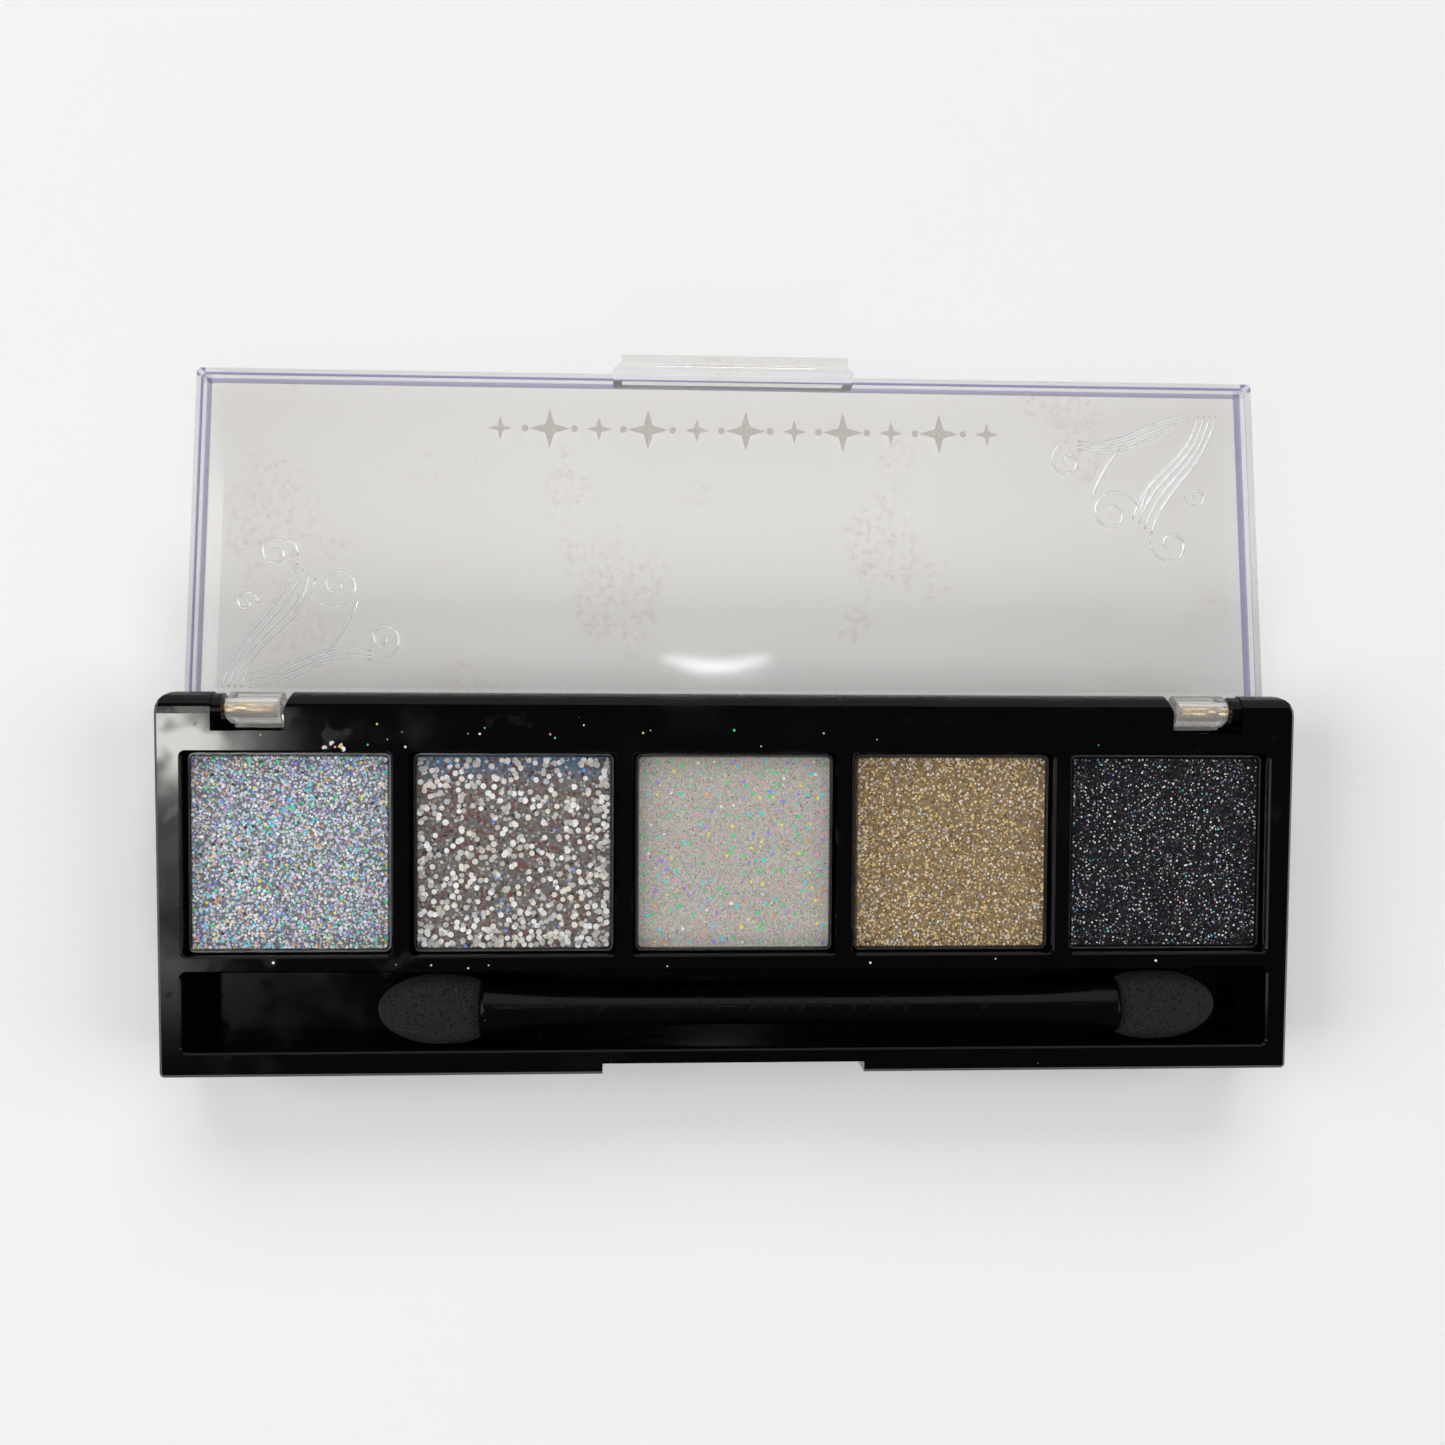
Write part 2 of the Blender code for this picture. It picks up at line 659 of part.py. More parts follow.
def build_stem(side, mat):
    """Round plug in the handle with a flat paddle that carries the sponge."""
    plug_start = HANDLE_HALF_LENGTH - STEM_PLUG_LENGTH
    plug = turned((
        (plug_start, STEM_RADIUS - STEM_CHAMFER),
        (plug_start + STEM_CHAMFER, STEM_RADIUS),
        (HANDLE_HALF_LENGTH + STEM_REACH, STEM_RADIUS),
    ), steps=20)
    corners = (PADDLE_TIP_CORNER, PADDLE_TIP_CORNER, PADDLE_HEEL_CORNER, PADDLE_HEEL_CORNER)
    outline = rounded_rectangle(PADDLE_LENGTH / 2, PADDLE_HALF_WIDTH, corners)
    paddle_x = HANDLE_HALF_LENGTH + PADDLE_SETBACK + PADDLE_LENGTH / 2
    layers = ((outline, -PADDLE_HALF_HEIGHT), (outline, PADDLE_HALF_HEIGHT))
    body = combined(plug, "UNION", [slab(layers, (paddle_x, 0.0))])
    if side < 0:
        mirrored(body)
    name = "applicator_stem_right" if side > 0 else "applicator_stem_left"
    applicator_place(new_object(name, body, mat))


def sponge_size(along):
    """Width of the sponge as a share of its widest, at a share of its length."""
    if along < SPONGE_WIDEST:
        return SPONGE_HEEL + (1.0 - SPONGE_HEEL) * math.sin(along / SPONGE_WIDEST * math.pi / 2)
    past = (along - SPONGE_WIDEST) / (1.0 - SPONGE_WIDEST)
    return max(SPONGE_POINT, math.sqrt(1.0 - past ** 2))


def build_sponge(side, mat):
    """Bullet-shaped foam tip with a slot for the paddle."""
    start = HANDLE_HALF_LENGTH + JOINT_GAP
    rings = [oval_ring(start, SPONGE_HEEL_EDGE * SPONGE_HALF_WIDTH, SPONGE_HEEL_EDGE * SPONGE_HALF_HEIGHT)]
    for step in range(1, SPONGE_STEPS + 1):
        along = math.sin(step / SPONGE_STEPS * math.pi / 2)
        size = sponge_size(along)
        x = start + SPONGE_LENGTH * along
        rings.append(oval_ring(x, size * SPONGE_HALF_WIDTH, size * SPONGE_HALF_HEIGHT))
    slot_x = HANDLE_HALF_LENGTH + PADDLE_SETBACK + PADDLE_LENGTH + SPONGE_GAP
    half_y = PADDLE_HALF_WIDTH + SPONGE_GAP
    half_z = PADDLE_HALF_HEIGHT + SPONGE_GAP
    slot = box((HANDLE_HALF_LENGTH - MM, -half_y, -half_z), (slot_x, half_y, half_z))
    plug_radius = STEM_RADIUS + SPONGE_GAP
    plug_hole = turned((
        (HANDLE_HALF_LENGTH - MM, plug_radius),
        (HANDLE_HALF_LENGTH + STEM_REACH + SPONGE_GAP, plug_radius),
    ), steps=20)
    body = combined(skin(rings), "DIFFERENCE", [slot, plug_hole])
    if side < 0:
        mirrored(body)
    name = "sponge_tip_right" if side > 0 else "sponge_tip_left"
    applicator_place(new_object(name, body, mat, smooth_angle=40.0))


# ---------------------------------------------------------------- whole palette

def build_palette():
    """Every piece of the palette."""
    black = material("glossy_black_abs", (0.006, 0.006, 0.007), 0.12)
    clear = material("clear_styrene", (0.92, 0.92, 0.96), 0.05, transmission=1.0)
    brass = material("brass", (0.72, 0.5, 0.2), 0.3, metallic=1.0)
    tin = material("tinplate", (0.75, 0.75, 0.76), 0.3, metallic=1.0)
    glue = material("pan_glue", (0.85, 0.82, 0.7), 0.6)
    paper = material("label_paper", (0.85, 0.85, 0.83), 0.7)
    stem = material("black_nylon", (0.015, 0.015, 0.016), 0.4)
    foam = material("black_foam", (0.02, 0.02, 0.021), 0.95)
    shadow_colours = (
        ("shadow_silver", (0.5, 0.5, 0.53)),
        ("shadow_flake", (0.42, 0.36, 0.35)),
        ("shadow_pearl", (0.78, 0.75, 0.72)),
        ("shadow_champagne", (0.62, 0.48, 0.33)),
        ("shadow_charcoal", (0.07, 0.07, 0.075)),
    )
    build_base(black)
    build_label(paper)
    for index, (name, colour) in enumerate(shadow_colours):
        build_glue(index, glue)
        build_pan(index, tin)
        build_powder(index, material(name, colour, 0.6))
    build_lid(clear)
    build_handle(black)
    for side in (-1, 1):
        build_pin(side, brass)
        build_stem(side, stem)
        build_sponge(side, foam)


def clear_scene():
    """Start from an empty scene."""
    for obj in list(bpy.data.objects):
        bpy.data.objects.remove(obj)


clear_scene()
build_palette()
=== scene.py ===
"""Studio scene of the eyeshadow palette: finishes, glitter, lid mouldings, foam tips, light and camera."""
import json
import math

import bmesh
import bpy
import numpy as np
from mathutils import Euler, Matrix, Vector, noise


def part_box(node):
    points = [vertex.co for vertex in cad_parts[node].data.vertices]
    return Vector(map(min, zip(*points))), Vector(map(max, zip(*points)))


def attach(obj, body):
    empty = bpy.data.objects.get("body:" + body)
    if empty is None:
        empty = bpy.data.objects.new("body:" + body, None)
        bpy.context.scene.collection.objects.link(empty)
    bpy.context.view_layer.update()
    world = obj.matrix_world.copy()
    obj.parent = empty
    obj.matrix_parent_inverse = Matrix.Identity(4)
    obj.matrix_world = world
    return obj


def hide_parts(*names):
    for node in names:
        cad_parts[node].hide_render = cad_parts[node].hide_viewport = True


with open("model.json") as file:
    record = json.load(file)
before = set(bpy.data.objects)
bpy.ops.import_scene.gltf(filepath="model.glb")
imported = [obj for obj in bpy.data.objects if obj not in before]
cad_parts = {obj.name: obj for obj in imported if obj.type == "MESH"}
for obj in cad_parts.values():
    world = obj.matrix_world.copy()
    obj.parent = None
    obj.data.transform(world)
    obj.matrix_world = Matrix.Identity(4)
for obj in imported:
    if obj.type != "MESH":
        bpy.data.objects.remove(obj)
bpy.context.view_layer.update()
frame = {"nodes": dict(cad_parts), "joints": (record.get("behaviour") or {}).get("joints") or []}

MM = 0.001

# Camera: nearly straight down, from a hand's height above the open palette.
LENS = 36.12
CAMERA_PLACE = Vector((-9.91, 23.68, 169.94)) * MM
CAMERA_TURN_DEG = (-2.148, -3.044, 0.331)

# Lid, in its shut position measured from the hinge axis; its sides taper toward the front.
HINGE = next(joint for joint in frame["joints"] if joint["name"] == "lid_hinge")
LID_SWING = math.radians(HINGE["range_deg"][1])
LID_OUTER_FACE = 4.2 * MM
LID_FRONT = 38.15 * MM
LID_TAPER = 0.5 * MM
LID_KNUCKLE = 3.6 * MM

# Clear plastic of the lid, and how it tints the light that passes through it to the floor.
CLEAR_IOR = 1.49
LAMP_TINT = (0.96, 0.955, 0.95, 1.0)

# Loose glitter: thin plates, crowded into soft clumps.
FLAKE_SIDES = 6
FLAKE_THICKNESS = 0.02 * MM
CLUMP_SIZE = 2.4 * MM

# Scrolls and printed band on the lid's outer face.
SCROLL_WIDTH = 0.34 * MM
SCROLL_HEIGHT = 0.16 * MM
PRINT_MIDDLE = (1.5 * MM, -32.4 * MM)
PRINT_PITCH = 5.6 * MM
STAR_PAIRS = 5

# Grip ribs across the applicator's handle.
RIB_PAIRS = 6
RIB_PITCH = 1.9 * MM
RIB_HALF_LENGTH = 1.05 * MM
RIB_WIDTH = 0.34 * MM
RIB_HEIGHT = 0.1 * MM

# Skin of the foam tips: how fine its mesh is, and how deep the hollows and pores go.
FOAM_MESH = 0.13 * MM
HOLLOW_DEPTH = 0.12 * MM
PORE_DEPTH = 0.22 * MM


# ---------------------------------------------------------------- material helpers

class Finish:
    """A new material, with short ways to add the nodes that the finishes share."""

    def __init__(self, name):
        self.material = bpy.data.materials.new(name)
        self.material.use_nodes = True
        self.tree = self.material.node_tree
        self.shader = self.tree.nodes["Principled BSDF"]
        self.place = self.add("ShaderNodeTexCoord").outputs["Object"]

    def add(self, kind, **settings):
        """A node of that kind, with its settings."""
        node = self.tree.nodes.new(kind)
        for key, value in settings.items():
            setattr(node, key, value)
        return node

    def feed(self, socket, value):
        """Gives a socket a number, a colour or another node's output."""
        if isinstance(value, bpy.types.NodeSocket):
            self.tree.links.new(value, socket)
        elif isinstance(value, (tuple, list)) and len(value) == 3 and len(socket.default_value) == 4:
            socket.default_value = (*value, 1.0)
        else:
            socket.default_value = value

    def shade(self, **values):
        """Sets inputs of the Principled shader, an underscore standing for each space."""
        for key, value in values.items():
            self.feed(self.shader.inputs[key.replace("_", " ")], value)

    def stretched(self, scale, turn=(0.0, 0.0, 0.0)):
        """Object coordinates scaled apart along the three axes."""
        node = self.add("ShaderNodeMapping")
        node.inputs["Scale"].default_value = scale
        node.inputs["Rotation"].default_value = turn
        self.feed(node.inputs["Vector"], self.place)
        return node.outputs["Vector"]

    def noise(self, size, detail=2.0, roughness=0.5, place=None):
        """Noise from 0 to 1 with spots of about that size."""
        node = self.add("ShaderNodeTexNoise")
        self.feed(node.inputs["Vector"], place or self.place)
        node.inputs["Scale"].default_value = 1.0 / size
        node.inputs["Detail"].default_value = detail
        node.inputs["Roughness"].default_value = roughness
        return node.outputs["Fac"]

    def cells(self, size):
        """Voronoi cells of about that size: (random colour of the cell, distance to its middle)."""
        node = self.add("ShaderNodeTexVoronoi")
        self.feed(node.inputs["Vector"], self.place)
        node.inputs["Scale"].default_value = 1.0 / size
        return node.outputs["Color"], node.outputs["Distance"]

    def ramp(self, value, stops, steps=False):
        """Colours along a value; each stop is (position, colour), and steps keeps them unblended."""
        node = self.add("ShaderNodeValToRGB")
        node.color_ramp.interpolation = "CONSTANT" if steps else "LINEAR"
        elements = node.color_ramp.elements
        while len(elements) < len(stops):
            elements.new(0.5)
        for element, (position, colour) in zip(elements, stops):
            element.position = position
            element.color = (*colour, 1.0)
        self.feed(node.inputs["Fac"], value)
        return node.outputs["Color"]

    def level(self, value, low, high, out_low=0.0, out_high=1.0):
        """Maps low..high to out_low..out_high and holds it there beyond."""
        node = self.add("ShaderNodeMapRange")
        limits = {"From Min": low, "From Max": high, "To Min": out_low, "To Max": out_high}
        for key, number in limits.items():
            node.inputs[key].default_value = number
        self.feed(node.inputs["Value"], value)
        return node.outputs["Result"]

    def math(self, operation, first, second=0.0):
        """One sum on two values."""
        node = self.add("ShaderNodeMath", operation=operation)
        self.feed(node.inputs[0], first)
        self.feed(node.inputs[1], second)
        return node.outputs[0]

    def blend(self, share, first, second):
        """Mixes two colours."""
        node = self.add("ShaderNodeMix", data_type="RGBA")
        self.feed(node.inputs["Factor"], share)
        # A Mix node's colours are its inputs 6 and 7 and its output 2.
        self.feed(node.inputs[6], first)
        self.feed(node.inputs[7], second)
        return node.outputs[2]

    def parts(self, vector):
        """The three numbers of a vector or colour."""
        node = self.add("ShaderNodeSeparateXYZ")
        self.feed(node.inputs[0], vector)
        return node.outputs["X"], node.outputs["Y"], node.outputs["Z"]

    def bump(self, height, depth, normal=None):
        """Surface normal of a height map of that depth."""
        node = self.add("ShaderNodeBump")
        node.inputs["Distance"].default_value = depth
        self.feed(node.inputs["Height"], height)
        if normal is not None:
            self.feed(node.inputs["Normal"], normal)
        return node.outputs["Normal"]

    def tilted(self, random_colour, amount):
        """Surface normal leaning a random way in each cell, as glitter lies."""
        away = self.add("ShaderNodeVectorMath", operation="SUBTRACT")
        self.feed(away.inputs[0], random_colour)
        away.inputs[1].default_value = (0.5, 0.5, 0.5)
        scaled = self.add("ShaderNodeVectorMath", operation="SCALE")
        self.feed(scaled.inputs[0], away.outputs[0])
        scaled.inputs["Scale"].default_value = amount
        total = self.add("ShaderNodeVectorMath", operation="ADD")
        self.feed(total.inputs[0], scaled.outputs[0])
        self.feed(total.inputs[1], self.add("ShaderNodeNewGeometry").outputs["Normal"])
        unit = self.add("ShaderNodeVectorMath", operation="NORMALIZE")
        self.feed(unit.inputs[0], total.outputs[0])
        return unit.outputs[0]

    def see_through_for_lamps(self):
        """Lets light pass straight to and from the floor, so that clear plastic throws a faint shadow."""
        lamp = self.add("ShaderNodeBsdfTransparent")
        lamp.inputs["Color"].default_value = LAMP_TINT
        path = self.add("ShaderNodeLightPath")
        passing = self.math("MAXIMUM", path.outputs["Is Shadow Ray"], path.outputs["Is Diffuse Ray"])
        choice = self.add("ShaderNodeMixShader")
        self.feed(choice.inputs["Fac"], passing)
        self.feed(choice.inputs[1], self.shader.outputs[0])
        self.feed(choice.inputs[2], lamp.outputs[0])
        output = self.tree.nodes["Material Output"]
        self.feed(output.inputs["Surface"], choice.outputs[0])


def wear_lines(finish, width, turn):
    """Hairline scratches of about that width in one direction: 1 on a line, 0 beside it."""
    lines = finish.noise(width, detail=1.0, place=finish.stretched((1.0, 0.03, 1.0), (0.0, 0.0, turn)))
    rare = finish.level(finish.noise(6 * MM, detail=1.0), 0.52, 0.6)
    return finish.math("MULTIPLY", finish.level(lines, 0.74, 0.78), rare)


# ---------------------------------------------------------------- finishes of the case

def glossy_black(name, smudge=0.3, shine=0.08):
    """Polished black plastic with finger smudges, hairline scratches and a little dust."""
    finish = Finish(name)
    wide = finish.level(finish.noise(11 * MM, detail=3.0, roughness=0.6), 0.5, 0.72)
    spots = finish.level(finish.noise(3.2 * MM, detail=2.0), 0.62, 0.72)
    marks = finish.math("MULTIPLY", finish.math("MAXIMUM", wide, spots), smudge - shine)
    hairs = finish.math("MAXIMUM", wear_lines(finish, 0.12 * MM, 0.5), wear_lines(finish, 0.1 * MM, -0.9))
    rough = finish.math("ADD", finish.math("ADD", marks, shine), finish.math("MULTIPLY", hairs, 0.1))
    speck_colour, speck_distance = finish.cells(1.7 * MM)
    chosen = finish.level(finish.parts(speck_colour)[0], 0.94, 0.95)
    dot = finish.level(speck_distance, 0.02, 0.04, 1.0, 0.0)
    dust = finish.math("MULTIPLY", chosen, dot)
    tone = finish.blend(finish.noise(4 * MM), (0.0008, 0.0008, 0.001), (0.0018, 0.0017, 0.002))
    finish.shade(
        Base_Color=finish.blend(dust, tone, (0.2, 0.2, 0.21)),
        Roughness=finish.math("ADD", rough, finish.math("MULTIPLY", dust, 0.4)),
        IOR=1.52,
        Normal=finish.bump(finish.noise(2.5 * MM, detail=1.0), 0.004 * MM),
    )
    return finish.material


def lid_edges(finish):
    """Masks for the painted refraction tint where the open lid shows its edge: (its outer walls, the line
    along their outer corner).
    """
    levelled = (LID_SWING - math.pi, 0.0, 0.0)
    across, along, height = finish.parts(finish.stretched((1.0, 1.0, 1.0), levelled))
    low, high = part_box("lid")
    front_corner = (0.0, -LID_FRONT, LID_OUTER_FACE)
    corner = Euler(levelled).to_matrix() @ on_open_lid([front_corner])[0]
    half_width = finish.level(along, low.y, corner.y, high.x, high.x - LID_TAPER)
    side = finish.math("SUBTRACT", finish.math("ABSOLUTE", across), half_width)
    end = finish.math("SUBTRACT", along, corner.y)
    before_tab = finish.level(end, 0.05 * MM, 0.1 * MM, 1.0, 0.0)
    outward = finish.math("MAXIMUM", side, end)
    wall = finish.math("MULTIPLY", finish.level(outward, -0.5 * MM, -0.2 * MM), before_tab)
    rim = finish.math("MULTIPLY", finish.level(outward, -0.3 * MM, -0.2 * MM), before_tab)
    at_face = finish.level(height, corner.z + 0.25 * MM, corner.z + 0.35 * MM, 1.0, 0.0)
    return wall, finish.math("MULTIPLY", rim, at_face)


def clear_lid():
    """Clear polystyrene, milky at the hinge, with handling marks; its colour carries painted shade toward
    the sides, a painted bluish refraction tint on the walls and a painted violet refraction line along the
    outer corner.
    """
    finish = Finish("clear_lid")
    low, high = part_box("lid")
    wall, painted_refraction_line = lid_edges(finish)
    across, along, _ = finish.parts(finish.place)
    smear = finish.level(finish.noise(12 * MM, detail=1.0), 0.56, 0.64)
    grains = finish.level(finish.noise(0.9 * MM, detail=4.0, roughness=0.65), 0.52, 0.66, 0.0, 0.55)
    # Painted shade: the clear tone turns greyer toward the lid's sides.
    side_shade_mask = finish.level(finish.math("ABSOLUTE", across), 0.35 * high.x, 0.95 * high.x)
    side_shaded_clear = finish.blend(side_shade_mask, (0.957, 0.95, 0.937), (0.88, 0.871, 0.858))
    clear = finish.blend(finish.math("MULTIPLY", smear, grains), side_shaded_clear, (0.7, 0.62, 0.55))
    # Painted refraction: the outer walls get a bluish tint.
    tone = finish.blend(wall, clear, (0.88, 0.88, 0.95))
    marks = finish.math("MAXIMUM", wear_lines(finish, 0.15 * MM, 0.3), wear_lines(finish, 0.12 * MM, 1.2))
    haze = finish.level(finish.noise(14 * MM, detail=4.0), 0.4, 0.75, 0.04, 0.08)
    clearness = finish.level(along, low.y + LID_KNUCKLE, low.y + LID_KNUCKLE + MM, 0.86, 1.0)
    finish.shade(
        # Painted refraction: a dark violet line along the outer corner.
        Base_Color=finish.blend(painted_refraction_line, tone, (0.16, 0.13, 0.36)),
        Roughness=finish.math("ADD", haze, finish.math("MULTIPLY", marks, 0.12)),
        IOR=CLEAR_IOR,
        Transmission_Weight=clearness,
        Normal=finish.bump(finish.noise(7 * MM, detail=2.0), 0.004 * MM),
    )
    finish.see_through_for_lamps()
    return finish.material


def lid_relief():
    """Frosted ridges of the moulded scrolls."""
    finish = Finish("lid_relief")
    finish.shade(
        Base_Color=finish.blend(finish.noise(0.8 * MM), (0.84, 0.84, 0.86), (0.96, 0.96, 0.97)),
        Roughness=finish.level(finish.noise(0.4 * MM), 0.3, 0.7, 0.08, 0.22),
        IOR=CLEAR_IOR,
        Transmission_Weight=0.8,
        Normal=finish.bump(finish.noise(0.3 * MM), 0.004 * MM),
    )
    finish.see_through_for_lamps()
    return finish.material


def lid_print():
    """Soft silver-grey ink, a little worn."""
    finish = Finish("lid_print")
    worn = finish.level(finish.noise(0.25 * MM, detail=3.0), 0.58, 0.66)
    finish.shade(
        Base_Color=finish.blend(worn, (0.58, 0.54, 0.5), (0.7, 0.67, 0.64)),
        Metallic=0.2,
        Roughness=finish.level(finish.noise(0.6 * MM), 0.3, 0.7, 0.35, 0.55),
        Normal=finish.bump(finish.noise(0.12 * MM), 0.003 * MM),
    )
    finish.see_through_for_lamps()
    return finish.material


def brass():
    """Drawn brass wire of the hinge pins, with lines along its length."""
    finish = Finish("drawn_brass")
    lines = finish.noise(0.12 * MM, detail=3.0, place=finish.stretched((0.06, 1.0, 1.0)))
    finish.shade(
        Base_Color=finish.blend(lines, (0.55, 0.36, 0.13), (0.86, 0.66, 0.32)),
        Metallic=1.0,
        Roughness=finish.level(lines, 0.3, 0.7, 0.18, 0.38),
        Normal=finish.bump(lines, 0.006 * MM),
    )
    return finish.material


def tinplate():
    """Pressed tin of the pans, with drawing marks and small stains."""
    finish = Finish("pressed_tin")
    drawn = finish.noise(0.2 * MM, detail=3.0, place=finish.stretched((1.0, 1.0, 0.08)))
    stain = finish.level(finish.noise(3 * MM, detail=4.0), 0.55, 0.75)
    finish.shade(
        Base_Color=finish.blend(stain, (0.5, 0.5, 0.5), (0.34, 0.33, 0.31)),
        Metallic=1.0,
        Roughness=finish.level(drawn, 0.3, 0.7, 0.28, 0.5),
        Normal=finish.bump(drawn, 0.005 * MM),
    )
    return finish.material


def hot_glue():
    """Cream glue pads under the pans."""
    finish = Finish("cream_glue")
    finish.shade(
        Base_Color=finish.blend(finish.noise(1.5 * MM), (0.72, 0.66, 0.48), (0.86, 0.82, 0.68)),
        Roughness=finish.level(finish.noise(0.8 * MM), 0.3, 0.7, 0.3, 0.55),
        Normal=finish.bump(finish.noise(1.2 * MM), 0.08 * MM),
    )
    return finish.material


def label_paper():
    """White label with a thin frame and plain grey bars where small print would be."""
    finish = Finish("label_paper")
    across, along, _ = finish.parts(finish.place)
    low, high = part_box("bottom_label")
    middle = (low + high) / 2
    side = finish.math("ABSOLUTE", finish.math("SUBTRACT", across, middle.x))
    end = finish.math("ABSOLUTE", finish.math("SUBTRACT", along, middle.y))
    past_side = finish.math("SUBTRACT", side, high.x - middle.x)
    past_end = finish.math("SUBTRACT", end, high.y - middle.y)
    from_edge = finish.math("MAXIMUM", past_side, past_end)
    frame_line = finish.math("COMPARE", from_edge, -1.2 * MM)
    frame_line.node.inputs[2].default_value = 0.12 * MM
    row_pitch = 2.2 * MM
    row = finish.math("FRACT", finish.math("DIVIDE", finish.math("ADD", along, 50 * MM), row_pitch))
    bar = finish.level(row, 0.34, 0.3, 0.0, 1.0)
    words = finish.level(finish.noise(1.6 * MM, place=finish.stretched((1.0, 0.35, 0.2))), 0.47, 0.5)
    inside = finish.level(from_edge, -2.6 * MM, -2.7 * MM)
    bars = finish.math("MULTIPLY", finish.math("MULTIPLY", bar, words), inside)
    ink = finish.math("MAXIMUM", finish.math("MULTIPLY", bars, 0.55), frame_line)
    fibre = finish.noise(0.15 * MM, detail=4.0)
    paper = finish.blend(fibre, (0.74, 0.73, 0.7), (0.86, 0.85, 0.83))
    finish.shade(
        Base_Color=finish.blend(ink, paper, (0.08, 0.08, 0.09)),
        Roughness=finish.level(fibre, 0.3, 0.7, 0.5, 0.75),
        Normal=finish.bump(fibre, 0.01 * MM),
    )
    return finish.material


# ---------------------------------------------------------------- finishes of the applicator

def stem_plastic():
    """Satin black nylon of the applicator's plugs."""
    finish = Finish("satin_nylon")
    finish.shade(
        Base_Color=finish.blend(finish.noise(MM), (0.008, 0.008, 0.009), (0.018, 0.018, 0.02)),
        Roughness=finish.level(finish.noise(0.5 * MM), 0.3, 0.7, 0.5, 0.65),
        Specular_IOR_Level=0.15,
        Normal=finish.bump(finish.noise(0.2 * MM), 0.006 * MM),
    )
    return finish.material


def foam():
    """Matte black open-cell foam, with painted shade darkening its pores."""
    finish = Finish("open_cell_foam")
    _, near = finish.cells(0.22 * MM)
    _, far = finish.cells(0.55 * MM)
    fine = finish.noise(0.09 * MM, detail=4.0, roughness=0.7)
    pores = finish.math("MULTIPLY", finish.level(near, 0.1, 0.5), finish.level(far, 0.02, 0.35))
    height = finish.math("ADD", finish.math("MULTIPLY", pores, 0.7), finish.math("MULTIPLY", fine, 0.5))
    finish.shade(
        # Painted shade: the colour ramp darkens the pores below the cell walls.
        Base_Color=finish.ramp(height, ((0.25, (0.0006, 0.0006, 0.0008)), (0.95, (0.021, 0.0205, 0.0235)))),
        Roughness=0.95,
        Specular_IOR_Level=0.2,
        Sheen_Weight=0.06,
        Sheen_Roughness=0.5,
        Normal=finish.bump(height, 0.1 * MM),
    )
    return finish.material


# ---------------------------------------------------------------- finishes of the five shadows

def pressed_glitter(name, cell, binder, colours, tilt, cover, metal=0.7):
    """Pressed powder packed with glitter: cells of random colour, each leaning its own way."""
    finish = Finish(name)
    colour, distance = finish.cells(cell)
    pick, lean, _ = finish.parts(colour)
    stops = [(index / len(colours), tone) for index, tone in enumerate(colours)]
    flake = finish.ramp(pick, stops, steps=True)
    shade = finish.level(lean, 0.0, 1.0, 0.45, 1.15)
    lit = finish.blend(1.0, flake, shade)
    lit.node.blend_type = "MULTIPLY"
    edge = finish.level(distance, cover, cover + 0.12, 1.0, 0.0)
    powder = finish.blend(finish.noise(1.5 * MM, detail=4.0), binder, tuple(0.7 * part for part in binder))
    grain = finish.noise(0.12 * MM, detail=2.0)
    finish.shade(
        Base_Color=finish.blend(edge, powder, lit),
        Metallic=finish.math("MULTIPLY", edge, metal),
        Roughness=finish.level(edge, 0.0, 1.0, 0.6, 0.3),
        Normal=finish.bump(grain, 0.02 * MM, finish.tilted(colour, tilt)),
    )
    return finish


def silver_shadow():
    """Fine silver glitter with pastel rainbow glints."""
    colours = (
        (0.75, 0.79, 0.84), (0.52, 0.66, 0.88), (0.85, 0.87, 0.88), (0.5, 0.82, 0.82), (0.44, 0.49, 0.56),
        (0.87, 0.93, 0.98), (0.86, 0.64, 0.78), (0.6, 0.65, 0.74), (0.8, 0.78, 0.57),
    )
    binder = (0.19, 0.2, 0.225)
    return pressed_glitter("silver_shadow", 0.3 * MM, binder, colours, 0.5, 0.42, metal=0.4).material


def flake_shadow():
    """Clear-grey gel under the large flakes, bluer at the rear edge."""
    colours = (
        (0.32, 0.3, 0.28), (0.2, 0.18, 0.17), (0.46, 0.43, 0.4), (0.22, 0.14, 0.125), (0.33, 0.34, 0.35),
    )
    binder = (0.175, 0.167, 0.155)
    finish = pressed_glitter("flake_shadow", 0.4 * MM, binder, colours, 0.4, 0.36, metal=0.3)
    _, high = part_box("shadow_2")
    _, along, _ = finish.parts(finish.place)
    band = finish.level(along, high.y - 3.2 * MM, high.y - 0.8 * MM, 0.0, 0.85)
    own = finish.shader.inputs["Base Color"].links[0].from_socket
    finish.shade(Base_Color=finish.blend(band, own, (0.1, 0.17, 0.27)))
    return finish.material


def pearl_shadow():
    """Smooth off-white pearl."""
    colours = ((0.56, 0.52, 0.47), (0.59, 0.55, 0.5), (0.53, 0.49, 0.455), (0.63, 0.59, 0.545))
    binder = (0.54, 0.5, 0.46)
    return pressed_glitter("pearl_shadow", 0.14 * MM, binder, colours, 0.1, 0.5, metal=0.1).material


def champagne_shadow():
    """Champagne-gold fine glitter."""
    colours = (
        (0.64, 0.48, 0.28), (0.5, 0.35, 0.18), (0.76, 0.6, 0.39), (0.38, 0.26, 0.13),
        (0.68, 0.56, 0.38), (0.9, 0.77, 0.56), (0.53, 0.39, 0.21),
    )
    binder = (0.29, 0.205, 0.11)
    return pressed_glitter("champagne_shadow", 0.24 * MM, binder, colours, 0.45, 0.42).material


